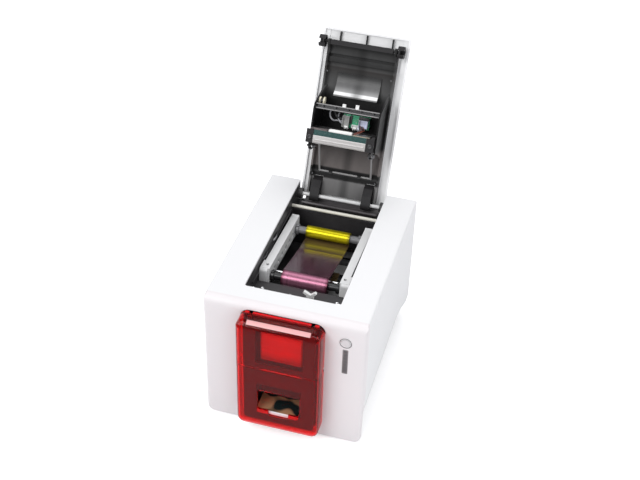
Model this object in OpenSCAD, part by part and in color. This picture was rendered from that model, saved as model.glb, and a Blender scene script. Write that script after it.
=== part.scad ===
/* [Casing] */
// Width of the casing
body_w = 205; // [196:1:225]
// Depth of the casing from front face to rear face
body_d = 272; // [266:1:290]
// Height of the casing above its underside
body_h = 192; // [190:1:205]
// Wall of the moulded shells
shell_t = 2.5; // [2:0.1:3]
// Radius of the casing's front top edge
nose_r = 10; // [6:1:11]
// Radius of the long top edges
top_edge_r = 3; // [2:0.5:5]
// Radius of the upright front edges
front_edge_r = 4.5; // [3:0.5:7]
// Radius of the front panel's bottom corners
panel_corner_r = 11; // [6:1:16]
// Thickness of the front panel below the side walls
panel_t = 4; // [3:0.5:6]
// Depth of the front panel's moulded return
panel_return = 12; // [11:1:16]
// Height of the side walls' lower edge
skirt_z = 50; // [46:1:54]
// Height of the rear corners' lower edge
tail_z = 27; // [22:1:34]
// Height of the rubber feet
foot_h = 3; // [2:0.5:6]
// Radius of the rubber feet
foot_r = 9; // [7:0.5:11]
// Inset of the base tray from the casing's sides
base_inset = 20.5; // [16:0.5:24]

/* [Print bay] */
// Half width of the opening in the casing's top
bay_half_w = 60.8; // [60.8:0.1:64]
// Distance from the front face to the opening
bay_front = 34; // [33:1:37]
// Corner radius of the opening
bay_corner_r = 3.5; // [2:0.5:6]
// Wall of the bay liner
liner_t = 2; // [1.6:0.1:2.2]
// Height of the card path above the underside
path_z = 112; // [108:1:114]
// Height of the front shelf above the card path
shelf_rise = 49; // [46:1:50]
// Sideways place of the printing centre line
print_x = -1.5; // [-2:0.1:2]

/* [Lid] */
// Lean of the open lid past upright
lid_lean = 25.9; // [10:0.1:30]
// Depth of the hinge below the lid's outer skin
hinge_drop = 15; // [14.5:0.1:15]
// Distance from the hinge to the casing's rear face
hinge_in = 10; // [10:0.1:10.5]
// Radius of the hinge shaft
shaft_r = 2.5; // [2:0.1:3]
// Half width of the lid's dark liner
lid_liner_half = 48; // [46.5:0.5:50]
// Distance from the hinge to the print line
head_reach = 84.5; // [83:0.5:86]

/* [Ribbon cassette] */
// Width of the ribbon film
film_w = 60; // [56:1:64]
// Radius of the film wound on the supply core
supply_r = 8; // [7:0.5:9]
// Radius of the film wound on the take-up core
takeup_r = 10.4; // [8:0.2:11]
// Radius of the ribbon cores
core_r = 5; // [4:0.5:6]
// Half gap between the two rails
rail_half_gap = 46; // [46:0.5:47]
// Width of a rail's top flange
rail_w = 10; // [8:0.5:10.5]
// Length of the rails
rail_len = 137; // [134:1:140]
// Slope of the cassette towards the rear
cassette_tilt = 4.2; // [3:0.2:5]
// Lift that takes the cassette out of the bay
cassette_lift = 80; // [60:5:90]

/* [Card module] */
// Width of the red module
module_w = 106; // [102:1:110]
// Height of the module's underside
module_z = 7; // [5:1:10]
// Height of the module's top
module_top = 184.5; // [182:0.5:185]
// Height of the seam between feeder cover and hopper
seam_z = 115; // [113:1:117]
// How far the module stands out of the front panel
module_out = 24; // [22:1:28]
// Corner radius of the module seen from the front
module_corner_r = 11; // [8:1:14]
// Radius of the module's top and bottom front edges
module_nose_r = 14; // [10:1:16]
// Wall of the red covers
cover_t = 2.5; // [2:0.1:3]
// Width of a card
card_w = 54; // [53.9:0.1:54.1]
// Length of a card
card_l = 85.6; // [85.5:0.1:85.7]
// Thickness of a card
card_t = 0.76; // [0.5:0.01:0.9]
// Cards in the feeder
feeder_cards = 56; // [10:1:56]
// Cards in the output hopper
hopper_cards = 8; // [1:1:10]

/* [Controls] */
// Radius of the button cap
button_r = 5.5; // [5:0.1:6.5]
// Travel of the button
button_travel = 1.5; // [0.8:0.1:2]
// Sideways place of the button
button_x = 77; // [74:0.5:82]
// Distance from the casing's top down to the button
button_drop = 27; // [24:1:32]
// Length of the status light bar
led_len = 39; // [30:1:44]

/* [Drive] */
// Radius of the platen and transport rollers
roller_r = 8; // [7:0.5:8.5]
// Radius of the roller shafts
axle_r = 3; // [2.5:0.1:3.5]
// Teeth of the platen gear
gear_teeth = 45; // [40:1:48]
// Teeth of the motor pinion
pinion_teeth = 15; // [12:1:16]
// Tooth module of the gears
tooth_m = 0.8; // [0.7:0.05:0.9]
// Radius of the belt pulleys
pulley_r = 9; // [8:0.5:10]

/* [Hidden] */
$fn = 48;
eps = 0.01;
foot_sunk = 1.2;     // depth of the feet's pockets
seat_gap = 0.3;      // gap of a seated loose part
run_gap = 0.05;      // radial play of a shaft in its bore
part_gap = 0.4;      // gap between neighbouring covers
lid_gap = 1.5;       // gap round the closed lid

front_y = -body_d / 2;
rear_y = body_d / 2;
half_w = body_w / 2;
hinge_y = rear_y - hinge_in;
hinge_z = body_h - hinge_drop;
bay_y = front_y + bay_front;
platen_y = hinge_y - head_reach;
lid_half = bay_half_w - lid_gap;
lid_len = hinge_y - bay_y - 1;
button_z = body_h - button_drop;

// bay liner
liner_half = bay_half_w + 0.5;
shelf_z = path_z + shelf_rise;
floor_z = path_z - 3;
well_y = platen_y - 93.5;
deck_y = hinge_y - 23;
trough_y = hinge_y - 17;
deck_z = hinge_z - 11;
trough_z = hinge_z - 16;
rim_z = body_h - shell_t;

// ribbon cassette, in its own sloping frame above the platen
rail_top_z = path_z + 58.9;
rail_t = 2;
rail_fall = 22;
rail_front = -90;
front_spool = [-79.5, -14];
rear_spool = [29.5, -11];
journal_r = 3;
flange_t = 2.5;
leg_fall = 30;
film_t = 0.25;
web_low = [platen_y - 6, path_z + 42.5];

// lid, along the lid (a), inward (d)
skin_t = shell_t;
skin_d = -hinge_drop;
base_d = skin_d + skin_t;
liner_d = -1.2;
head_depth = hinge_z - path_z;
latch_a = lid_len - 18;
latch_d = 3;
latch_r = 2;
latch_x = print_x - 0.9;
claw_r = 8;
claw_in = lid_liner_half + 1.2;
claw_w = 8.6;
pin_r = 2;
floor_d = base_d + 2.5;
well_a0 = head_reach - 20.5;
well_a1 = head_reach + 67.5;
head_a0 = head_reach - 5;
board_a = head_reach + 21.5;
bail_r = 1.3;
bail_x = 36;
bend_r = bail_r + 0.2;
bail_low = [head_reach - 49.5, floor_d + 3];
bail_top = [head_reach - 10.5, 16.5];
arm_x = 36;
arm_w = 12.5;
eye_r = 7.5;
barrel_half = 52;
boss_len = 7;

// card module
gate_gap = 1.4;
stack_y = well_y - liner_t - gate_gap - card_l;
module_y = min(front_y - module_out, stack_y - cover_t - 4);
module_half = module_w / 2;
cover_edge_r = 4.6;
cover_hinge = [front_y - part_gap - cover_edge_r, module_top - cover_edge_r];
ear_r = cover_edge_r - cover_t - seat_gap;
ear_x = module_half - 15;
ear_w = 2.4;
cover_pin_r = 1;
window_w = 54;
window_z = 47;
window_h = 32;
window_x = print_x + 2.5;
notch_w = 26;
notch_h = 7.5;
stack_z = path_z + 3.3;
chute_top = shelf_z - liner_t - part_gap;
inner_half = 45.5;
inner_y = module_y + 10;
tray_floor = 36;
hopper_half = card_w / 2 + 1.5;
lip_y = module_y + 10;
lip_z = 81;

// drive
axle_z = path_z - roller_r - seat_gap;
cleaner_z = path_z + card_t + roller_r + seat_gap;
feed_r = roller_r + 3.3;
feed_y = stack_y + card_l - 14;
front_roller_y = platen_y - 67;
rear_roller_y = platen_y + 38;
side_plate = liner_half + liner_t + 2.5;
plate_t = 1.5;
gear_r = gear_teeth * tooth_m / 2;
pinion_r = pinion_teeth * tooth_m / 2;
gear_x = side_plate + plate_t + 2;
gear_w = 6;
belt_t = 1.5;
motor_w = 33;
motor_l = 30;
motor_shaft_r = 2;
motor_z = axle_z - gear_r - pinion_r;

// ---------- shared shapes ----------

// outline of a rectangle with its own radius at each corner: bl, br, tr, tl
function corner(c, r, a0, a1) = r < eps ? [c] :
    [for (i = [0:8]) c + r * [cos(a0 + (a1 - a0) * i / 8), sin(a0 + (a1 - a0) * i / 8)]];
function rounded(x0, y0, x1, y1, r) = concat(
    corner([x0 + r[0], y0 + r[0]], r[0], 180, 270), corner([x1 - r[1], y0 + r[1]], r[1], 270, 360),
    corner([x1 - r[2], y1 - r[2]], r[2], 0, 90), corner([x0 + r[3], y1 - r[3]], r[3], 90, 180));

module slab(x0, y0, z0, x1, y1, z1) translate([x0, y0, z0]) cube([x1 - x0, y1 - y0, z1 - z0]);

// a YZ outline drawn as (y, z) points, run along X from x0 to x1
module along_x(x0, x1) translate([x0, 0, 0]) rotate([90, 0, 90]) linear_extrude(x1 - x0) children();

// an XZ outline drawn as (x, z) points, run along Y from y0 to y1
module along_y(y0, y1) translate([0, y1, 0]) rotate([90, 0, 0]) linear_extrude(y1 - y0) children();

// a rod along X
module rod_x(y, z, r, x0, x1) translate([x0, y, z]) rotate([0, 90, 0]) cylinder(r = r, h = x1 - x0);

module mirror_x(x = 0) {
    children();
    translate([x, 0, 0]) mirror([1, 0, 0]) translate([-x, 0, 0]) children();
}

// places a shape drawn as (x, along the lid, inward) on the open lid
module on_lid() translate([0, hinge_y, hinge_z]) rotate([90 - lid_lean, 0, 0]) children();

// places a shape drawn in the cassette's sloping frame
module on_cassette() translate([print_x, platen_y, rail_top_z]) rotate([-cassette_tilt, 0, 0]) children();

// a toothed wheel along X
module gear_wheel(teeth, m, w, bore) {
    pitch_a = 360 / teeth;
    outer = m * (teeth + 1.7) / 2;
    root = m * (teeth - 2.5) / 2;
    rotate([90, 0, 90])
        difference() {
            linear_extrude(w) polygon([for (i = [0:teeth - 1],
                p = [[-0.3, root], [-0.13, outer], [0.13, outer], [0.3, root]])
                p[1] * [cos(pitch_a * (i + p[0])), sin(pitch_a * (i + p[0]))]]);
            translate([0, 0, -eps]) cylinder(r = bore, h = w + 2 * eps);
        }
}

// ---------- casing ----------

// outer form of the casing, drawn in by t
module casing_form(t) {
    intersection() {
        along_y(front_y - 1, rear_y + 1)
            polygon(rounded(-half_w + t, t, half_w - t, body_h - t, [0, 0, max(top_edge_r - t, 0.5),
                max(top_edge_r - t, 0.5)]));
        along_x(-half_w, half_w)
            polygon(rounded(front_y + t, t, rear_y + 1, body_h - t, [0, 0, 0, nose_r - t]));
        translate([0, 0, -1]) linear_extrude(body_h + 2)
            polygon(rounded(-half_w + t, front_y + t, half_w - t, rear_y + 1,
                [front_edge_r - min(t, 2), front_edge_r - min(t, 2), 0, 0]));
    }
}

module casing_shell() color("whitesmoke") difference() {
    intersection() {
        casing_form(0);
        along_x(-half_w, half_w) polygon([[front_y + panel_return, skirt_z], [platen_y + 18, skirt_z],
            [platen_y + 43, skirt_z - 6], [platen_y + 78, tail_z], [rear_y, tail_z], [rear_y, body_h],
            [front_y + panel_return, body_h]]);
    }
    casing_form(shell_t);
    bay_cut();
}

// the opening in the top, open towards the rear
module bay_cut() translate([0, 0, body_h - 2 * shell_t]) linear_extrude(3 * shell_t)
    polygon(rounded(-bay_half_w, bay_y, bay_half_w, rear_y + 1, [bay_corner_r, bay_corner_r, 0, 0]));

module front_panel() color("ghostwhite") difference() {
    intersection() {
        casing_form(0);
        slab(-half_w, front_y, 0, half_w, front_y + panel_return, body_h);
        along_y(front_y - 1, front_y + panel_return + 1)
            polygon(rounded(-half_w, 0, half_w, body_h,
                [panel_corner_r, panel_corner_r, top_edge_r, top_edge_r]));
    }
    difference() {
        casing_form(shell_t);
        slab(-half_w, front_y, 0, half_w, front_y + panel_t, skirt_z);
    }
    slab(-half_w - 1, front_y + panel_t, -1, half_w + 1, front_y + panel_return + 1, skirt_z);
    module_opening();
    translate([button_x, front_y - 1, button_z]) rotate([-90, 0, 0])
        cylinder(r = button_r + 1, h = panel_return);
    led_outline(0.1, 3);
}

// the hole behind the red module: full width where the cover swings, drawn in below
module module_opening() {
    in = 4;
    along_y(front_y - 1, front_y + panel_return)
        intersection() {
            polygon(rounded(print_x - module_half - part_gap, module_z, print_x + module_half + part_gap,
                module_top + part_gap, [3, 3, module_corner_r + part_gap, module_corner_r + part_gap]));
            translate([print_x - module_half - 1, module_top - 12]) square([module_w + 2, 20]);
        }
    slab(print_x - module_half + in, front_y - 1, module_z + in + 3, print_x + module_half - in,
        front_y + panel_return, module_top - 11);
}

module rear_panel() color("gainsboro") difference() {
    union() {
        slab(-half_w + shell_t + part_gap / 2, rear_y - shell_t, tail_z,
            half_w - shell_t - part_gap / 2, rear_y, body_h - shell_t - part_gap / 2);
        // stiffening rib along the lower edge
        slab(-half_w + 12, rear_y - shell_t - 5, tail_z,
            half_w - 12, rear_y - shell_t + eps, tail_z + shell_t);
    }
    slab(-bay_half_w, rear_y - 10, trough_z + 1, bay_half_w, rear_y + 1, body_h);
    along_y(rear_y - 9, rear_y + 1) port_cuts();
    // cooling slots
    for (i = [0:7])
        slab(-78 + i * 7, rear_y - 9, 120, -75 + i * 7, rear_y + 1, 150);
    // security slot
    slab(80, rear_y - 9, 60, 87, rear_y + 1, 63.2);
}

// outlines of the three sockets as (x, z)
module port_cuts() {
    translate([power_x, 60]) circle(r = power_r);
    translate([usb_x, 54]) square([12.4, 11.4]);
    translate([net_x, 54]) square([16.4, 13.9]);
}
power_r = 5.6;
power_x = -54;
usb_x = -38;
net_x = -14;
socket_gap = 0.2;

// ---------- base ----------

module base_tray() color("dimgray") {
    x = half_w - base_inset;
    y0 = front_y + 18;
    y1 = rear_y - 8;
    difference() {
        translate([0, 0, 0]) linear_extrude(skirt_z + 2) polygon(rounded(-x, y0, x, y1, [6, 6, 6, 6]));
        translate([0, 0, shell_t]) linear_extrude(skirt_z + 2)
            polygon(rounded(-x + shell_t, y0 + shell_t, x - shell_t, y1 - shell_t, [4, 4, 4, 4]));
        slab(print_x - hopper_half - 3, y0 - 1, tray_floor - 1, print_x + hopper_half + 3, y0 + shell_t + 1,
            skirt_z + 3);
        // vent slots along the underside
        for (i = [-5:5])
            slab(i * 9 - 1.5, y1 - 75, -1, i * 9 + 1.5, y1 - 40, shell_t + 1);
        // round pockets that the feet are stuck in
        foot_places() translate([0, 0, -1]) cylinder(r = foot_r + seat_gap, h = 1 + foot_sunk);
    }
    // screw towers
    for (sx = [-1, 1], sy = [y0 + 22, y1 - 22])
        translate([sx * (x - 14), sy, shell_t - eps]) difference() {
            cylinder(r = 5, h = skirt_z + 2 - shell_t);
            translate([0, 0, 10]) cylinder(r = 1.6, h = skirt_z);
        }
}

module foot_places() for (sx = [-1, 1], sy = [front_y + 34, rear_y - 24])
    translate([sx * (half_w - base_inset - 14), sy, 0]) children();

module rubber_feet() color("black") foot_places() rotate_extrude()
    polygon([[0, -foot_h], [foot_r - 1.6, -foot_h], [foot_r - 0.8, -foot_h + 0.8], [foot_r, 0],
        [foot_r, foot_sunk], [0, foot_sunk]]);

// bent steel frame: a floor and two side plates
module chassis_frame() color("silver") difference() {
    union() {
        slab(-half_w + shell_t + 0.5, front_y + panel_return + 1, skirt_z + 2, half_w - shell_t - 0.5,
            platen_y + 18, skirt_z + 2 + plate_t);
        slab(-side_plate - plate_t, platen_y + 17, skirt_z + 2,
            side_plate + plate_t, rear_y - shell_t - 0.5, skirt_z + 2 + plate_t);
        for (sx = [-1, 1])
            slab(min(sx * side_plate, sx * (side_plate + plate_t)), front_y + panel_return + 1, skirt_z + 2,
                max(sx * side_plate, sx * (side_plate + plate_t)), rear_y - shell_t - 0.5, path_z + 38);
    }
    // shaft holes, taken by the bushes
    for (y = [feed_y, front_roller_y, platen_y, rear_roller_y])
        rod_x(y, axle_z, axle_r + 2.5, -half_w, half_w);
    rod_x(platen_y, motor_z, pinion_r + 2, side_plate - 5, side_plate + 5);
    // room for the output hopper
    slab(print_x - hopper_half - 3, front_y, skirt_z,
        print_x + hopper_half + 3, module_y + card_l + 10, skirt_z + 5);
}

// ---------- print bay ----------

// the bay's inner outline as (y, z), drawn out by t
function bay_profile(t) = concat([[bay_y - 1.5 - t, rim_z]],
    corner([bay_y + 4.5, shelf_z + 6], 6 + t, 180, 270),
    [[well_y - t, shelf_z - t], [well_y - t, floor_z - t], [deck_y + t, floor_z - t], [deck_y + t, rim_z]]);

// the two side walls stand against the folded floor, which runs between them
module bay_liner() color([0.2, 0.2, 0.21]) difference() {
    union() {
        difference() {
            along_x(-liner_half + run_gap, liner_half - run_gap) difference() {
                polygon(bay_profile(liner_t));
                polygon(bay_profile(0));
            }
            slab(-liner_half, deck_y - 1, deck_z, liner_half, deck_y + 2 * liner_t, body_h);
        }
        mirror_x() along_x(liner_half, liner_half + liner_t) polygon(bay_profile(liner_t));
        // long ledges on the side walls
        mirror_x() slab(liner_half - 1.8, bay_y + 30, shelf_z + 10,
            liner_half + eps, deck_y - 10, shelf_z + 12);
        // posts that carry the cassette
        mirror_x() intersection() {
            on_cassette() for (y = [-60, 43])
                translate([0, y - 5, -rail_fall - 12]) cube([70, 10, rail_fall + 12 - flange_t - seat_gap]);
            slab(rail_half_gap + rail_t + 3, -100, 0, liner_half + eps, 100, body_h);
        }
    }
    // slots that the rollers reach through
    for (y = [front_roller_y, platen_y, rear_roller_y])
        slab(print_x - 34, y - roller_r - 2, floor_z - 3, print_x + 34, y + roller_r + 2, floor_z + 1);
    // the card's way in from the feeder and on past the platen
    mirror_x(print_x) {
        slab(print_x - 1, well_y - 5, path_z - 2, print_x + card_w / 2 + 2, well_y + 1, path_z + 6);
        slab(print_x - 1, deck_y - 1, path_z - 2, print_x + card_w / 2 + 2, deck_y + 5, path_z + 4);
    }
    // shaft holes
    for (y = [front_roller_y, platen_y, rear_roller_y])
        rod_x(y, axle_z, axle_r + 1, -half_w, half_w);
    rod_x(front_roller_y, cleaner_z, axle_r + run_gap, -half_w, half_w);
    // seats of the cross bar and latch pins
    rod_x(hinge_y - latch_a, hinge_z - latch_d, pin_r, -half_w, half_w);
    rod_x(bar_y, bar_z, bar_r, -half_w, half_w);
}

// rear moulding that holds the hinge shaft and clears the lid's tail
module rear_trough() color([0.2, 0.2, 0.21]) difference() {
    y0 = deck_y + liner_t;
    y1 = rear_y - shell_t;
    union() {
        difference() {
            along_x(-liner_half - liner_t, liner_half + liner_t) polygon([[y0, deck_z - liner_t],
                [trough_y - liner_t, deck_z - liner_t], [trough_y - liner_t, trough_z - liner_t],
                [y1, trough_z - liner_t], [y1, rim_z], [y0, rim_z]]);
            along_x(-liner_half, liner_half) polygon([[y0 - 1, deck_z], [trough_y, deck_z],
                [trough_y, trough_z], [y1 + 1, trough_z], [y1 + 1, body_h], [y0 - 1, body_h]]);
        }
        // bosses round the hinge shaft
        mirror_x() rod_x(hinge_y, hinge_z, 7.2, liner_half - boss_len, liner_half + eps);
    }
    rod_x(hinge_y, hinge_z, shaft_r, -half_w, half_w);
}

bar_r = 2.2;
bar_y = deck_y - 2.6;
bar_z = deck_z + 7;

module card_plate() color("silver") difference() {
    slab(print_x - card_w / 2 - 10, well_y + 1, floor_z,
        print_x + card_w / 2 + 10, deck_y - 1, floor_z + 1.5);
    for (y = [front_roller_y, platen_y, rear_roller_y])
        slab(print_x - 33, y - roller_r - 1, floor_z - 3, print_x + 33, y + roller_r + 1, floor_z + 3);
}

module hinge_shaft() color("silver")
    rod_x(hinge_y, hinge_z, shaft_r, -liner_half - liner_t, liner_half + liner_t);

module cross_bar() color("white")
    rod_x(bar_y, bar_z, bar_r, -liner_half - liner_t, liner_half + liner_t);

module latch_pins() color("silver") {
    rod_x(hinge_y - latch_a, hinge_z - latch_d, pin_r, -liner_half - liner_t, latch_x - claw_in - 3.4);
    rod_x(hinge_y - latch_a, hinge_z - latch_d, pin_r, latch_x + claw_in + 3.4, liner_half + liner_t);
}

module gauge_scale() color("gray") translate([print_x + 1, bay_y + 34, shelf_z]) difference() {
    intersection() {
        cylinder(r = 14, h = 7.5);
        slab(-12, -14, 0, 12, -6, 7.5);
    }
    translate([0, 0, 2]) cylinder(r = 11, h = 9);
}

module gauge_lever() color("white") translate([print_x + 11, bay_y + 30.5, shelf_z + seat_gap]) {
    along_y(-2, 2) polygon([[0, 0], [8, 0], [8, 8], [13, 14], [10.5, 15.5], [5, 10.5], [-3, 15],
        [-4.5, 12.6], [0, 9]]);
    slab(0, 0, 0, 8, 6, 2);
}

// ---------- card module ----------

// outer form of the red module, drawn in by t
module module_form(t) {
    w = module_half - t;
    r = module_corner_r - t;
    intersection() {
        along_y(module_y - 1, front_y - part_gap)
            polygon(rounded(print_x - w, module_z + t, print_x + w, module_top - t, [r, r, r, r]));
        along_x(print_x - module_half, print_x + module_half)
            polygon(rounded(module_y + t, module_z, front_y - part_gap - t, module_top - t,
                [module_nose_r - t, 0, cover_edge_r - t, module_nose_r - t]));
        translate([0, 0, module_z - 1]) linear_extrude(module_top)
            polygon(rounded(print_x - w, module_y + t, print_x + w, front_y, [7 - t, 7 - t, 0, 0]));
    }
}

// the module as a thin shell, open towards the front panel
module module_shell() difference() {
    module_form(0);
    module_form(cover_t);
    slab(print_x - module_half + cover_t, front_y - part_gap - cover_t - eps, module_z + module_corner_r,
        print_x + module_half - cover_t, front_y, cover_hinge[1] - 0.5);
}

// finger notches at both ends of the seam
module seam_notches() for (sx = [-1, 1])
    translate([print_x + sx * module_half, front_y - 4, seam_z + 2]) rotate([90, 0, 0])
        translate([0, 0, -6]) cylinder(r = 2.5, h = 8);

module hopper_cover() color([0.6, 0.05, 0.08], 0.7) difference() {
    intersection() {
        union() {
            module_shell();
            // lip round the inside of the seam
            difference() {
                intersection() {
                    module_form(cover_t - eps);
                    slab(-80, module_y, seam_z - 5, 80, front_y - part_gap, seam_z - part_gap / 2);
                }
                slab(print_x - module_half + 5, module_y + 5, 0,
                    print_x + module_half - 5, front_y, seam_z + 5);
            }
        }
        slab(-80, module_y, 0, 80, front_y, seam_z - part_gap / 2);
    }
    seam_notches();
    along_y(module_y - 2, module_y + cover_t + 2) {
        polygon(rounded(window_x - window_w / 2, window_z, window_x + window_w / 2, window_z + window_h,
            [3, 3, 3, 3]));
        polygon(rounded(window_x - notch_w / 2, window_z - notch_h, window_x + notch_w / 2, window_z + 1,
            [2, 2, 0, 0]));
    }
}

module feeder_cover() color([0.6, 0.05, 0.08], 0.7) {
    difference() {
        intersection() {
            module_shell();
            slab(-80, module_y, seam_z + part_gap / 2, 80, front_y, module_top + 1);
        }
        seam_notches();
        // slots that the ears pass through as the cover swings
        mirror_x(print_x) slab(print_x + ear_x - ear_w / 2 - part_gap, cover_hinge[0] - 1.2,
            module_top - 12, print_x + ear_x + ear_w / 2 + part_gap, front_y + 1, module_top + 1);
    }
    // lugs with the pivot pins
    mirror_x(print_x) {
        rod_x(cover_hinge[0], cover_hinge[1], ear_r + seat_gap + eps,
            print_x + ear_x + ear_w / 2 + seat_gap, print_x + ear_x + ear_w / 2 + seat_gap + 3);
        rod_x(cover_hinge[0], cover_hinge[1], cover_pin_r, print_x + ear_x - ear_w / 2 - 0.6,
            print_x + ear_x + ear_w / 2 + 1);
    }
}

module cover_grip() color([0.9, 0.6, 0.6]) intersection() {
    difference() {
        along_x(print_x - 39, print_x + 40)
            translate([module_y + module_nose_r, module_top - module_nose_r])
            circle(r = module_nose_r + 1.2);
        along_x(-80, 80) translate([module_y + module_nose_r, module_top - module_nose_r])
            circle(r = module_nose_r);
    }
    translate([0, module_y + module_nose_r, module_top - module_nose_r]) rotate([-55, 0, 0])
        slab(-80, -20, -2.9, 80, 0, 2.9);
}

// bulkhead with the card chute, the dark frame behind the covers, the exit lip and the cover's two ears
module feeder_frame() color([0.13, 0.1, 0.1]) {
    y0 = front_y + panel_t - 1;
    difference() {
        slab(print_x - inner_half, y0, module_z + 8, print_x + inner_half, y0 + 2.5, module_top - 12);
        slab(print_x - card_w / 2 - 1, y0 - 1, stack_z - 0.3,
            print_x + card_w / 2 + 1, y0 + 4, chute_top + 1);
        slab(print_x - hopper_half, y0 - 1, tray_floor, print_x + hopper_half, y0 + 4, lip_z);
        // exit for the printed card
        slab(print_x - hopper_half, y0 - 1, path_z - 3.5, print_x + hopper_half, y0 + 4, path_z + 0.8);
    }
    // chute: floor and side walls for the stack
    difference() {
        slab(print_x - card_w / 2 - 3, y0 + 2.5 - eps, stack_z - 2.3,
            print_x + card_w / 2 + 3, well_y - liner_t - 0.5, chute_top);
        slab(print_x - card_w / 2 - 1, y0, stack_z - 0.3, print_x + card_w / 2 + 1, well_y, chute_top + 1);
        slab(print_x - 20, feed_y - feed_r, stack_z - 5, print_x + 20, feed_y + feed_r, stack_z + 1);
    }
    inner_frame(y0);
    // exit lip over the hopper
    difference() {
        slab(print_x - hopper_half - 1, lip_y, lip_z, print_x + hopper_half + 1, y0 + eps, lip_z + 9);
        slab(print_x - hopper_half + 3, lip_y + 1.2, lip_z - 1,
            print_x + hopper_half - 3, y0 - 2, lip_z + 7.5);
    }
    // ears of the cover's hinge
    mirror_x(print_x) difference() {
        union() {
            rod_x(cover_hinge[0], cover_hinge[1], ear_r,
                print_x + ear_x - ear_w / 2, print_x + ear_x + ear_w / 2);
            slab(print_x + ear_x - ear_w / 2, cover_hinge[0], module_top - 16,
                print_x + ear_x + ear_w / 2, y0 + 2.5, cover_hinge[1]);
        }
        rod_x(cover_hinge[0], cover_hinge[1], cover_pin_r + run_gap, -80, 80);
    }
}

// dark frame close behind the covers, with a window for the cards above and one for the hopper below
module inner_frame(y0) {
    wall = 1.6;
    low = module_z + 12;
    difference() {
        along_y(inner_y, inner_y + wall) polygon(rounded(print_x - inner_half, low, print_x + inner_half,
            module_top - 6.5, [5, 5, 7, 7]));
        slab(print_x - card_w / 2 - 3, inner_y - 1, stack_z + 1, print_x + card_w / 2 + 3, inner_y + 3,
            module_top - 17);
        slab(print_x - hopper_half, inner_y - 1, tray_floor,
            print_x + hopper_half, inner_y + 3, lip_z + eps);
    }
    mirror_x(print_x) slab(print_x + inner_half - wall, inner_y, low + 5, print_x + inner_half, y0 + eps,
        module_top - 15);
    slab(print_x - inner_half + 5, inner_y, low, print_x + inner_half - 5, y0 + eps, low + wall);
}

module card(n) linear_extrude(n * card_t)
    polygon(rounded(print_x - card_w / 2, 0, print_x + card_w / 2, card_l, [3.18, 3.18, 3.18, 3.18]));

module card_stack() color("white") translate([0, stack_y, stack_z]) card(feeder_cards);

module printed_cards() color("white")
    translate([0, module_y + cover_t + 1, tray_floor + 2.3]) card(hopper_cards);

module hopper_tray() color([0.12, 0.1, 0.1]) difference() {
    slab(print_x - hopper_half - 2, front_y + panel_t + 1.5, tray_floor, print_x + hopper_half + 2,
        module_y + card_l + 8, lip_z + 4);
    slab(print_x - hopper_half, front_y, tray_floor + 2,
        print_x + hopper_half, module_y + card_l + 6, lip_z + 5);
}

// ---------- controls ----------

module button_ring() color("silver")
    translate([button_x, front_y, button_z]) rotate([90, 0, 0]) difference() {
    union() {
        cylinder(r = button_r + 2, h = 0.8);
        translate([0, 0, -3]) cylinder(r = button_r + 0.8, h = 3);
    }
    translate([0, 0, -4]) cylinder(r = button_r + seat_gap, h = 6);
}

module button_cap() color("white") translate([button_x, front_y + 4, button_z]) rotate([90, 0, 0]) {
    cylinder(r = button_r, h = 5.5);
    translate([0, 0, -3]) cylinder(r = 2, h = 3 + eps);
}

// the light bar's outline cut as a solid, drawn out by t
module led_outline(t, depth) along_y(front_y - 1, front_y + depth)
    polygon(rounded(button_x - 3.5 - t, button_z - 50 - t, button_x + 3.5 + t, button_z - 50 + led_len + t,
        [1.2, 1.2, 1.2, 1.2]));

module led_bar() color("gray") intersection() {
    led_outline(0, 3);
    slab(button_x - 10, front_y + 0.3, 0, button_x + 10, front_y + 3, body_h);
}

// ---------- electronics ----------

module main_board() color("darkgreen") {
    x0 = -half_w + shell_t + 4;
    x1 = -side_plate - plate_t - 4.7;
    z = skirt_z + 10;
    slab(x0, -60, z, x1, 54, z + 1.6);
    for (p = [[0.12, -34, 14, 3], [0.2, -8, 16, 2], [0.15, 20, 10, 8], [0.3, 36, 9, 10]])
        slab(x0 + p[0] * (x1 - x0), p[1], z + 1.6 - eps, x1 - 4, p[1] + p[2], z + 1.6 + p[3]);
    for (y = [-50, 46])
        translate([x1 - 4, y, skirt_z + 2 + plate_t]) cylinder(r = 2.5, h = 8 - plate_t + eps);
}

module power_inlet() color("black") translate([power_x, 0, 60]) rotate([90, 0, 0]) difference() {
    translate([0, 0, -rear_y - 0.6]) cylinder(r = power_r - socket_gap, h = 14);
    translate([0, 0, -rear_y - 1]) cylinder(r = 3.4, h = 10);
}

module socket_box(x, z, w, h, inner_w, inner_h) difference() {
    slab(x + socket_gap, rear_y - 14, z + socket_gap, x + w - socket_gap, rear_y + 0.4, z + h - socket_gap);
    slab(x + (w - inner_w) / 2, rear_y - 10, z + (h - inner_h) / 2, x + (w + inner_w) / 2, rear_y + 1,
        z + (h + inner_h) / 2);
}

module usb_socket() color("silver") socket_box(usb_x, 54, 12.4, 11.4, 8.6, 8);

module network_socket() color("black") socket_box(net_x, 54, 16.4, 13.9, 12, 9);

// ---------- drive ----------

module drive_motor() color("silver") translate([side_plate - motor_l, platen_y, motor_z]) {
    intersection() {
        slab(0, -motor_w / 2, -motor_w / 2, motor_l, motor_w / 2, motor_w / 2);
        translate([-1, 0, 0]) rotate([45, 0, 0]) slab(0, -motor_w * 0.64, -motor_w * 0.64, motor_l + 2,
            motor_w * 0.64, motor_w * 0.64);
    }
    rod_x(0, 0, motor_shaft_r, motor_l - eps, motor_l + gear_x - side_plate + gear_w + 1);
}

module motor_pinion() color("gold") translate([gear_x, platen_y, motor_z])
    rotate([180 / pinion_teeth + 90, 0, 0])
        gear_wheel(pinion_teeth, tooth_m, gear_w, motor_shaft_r + run_gap);

module platen_gear() color("ivory") translate([gear_x, platen_y, axle_z]) rotate([-90, 0, 0])
    gear_wheel(gear_teeth, tooth_m, gear_w, axle_r);

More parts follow.
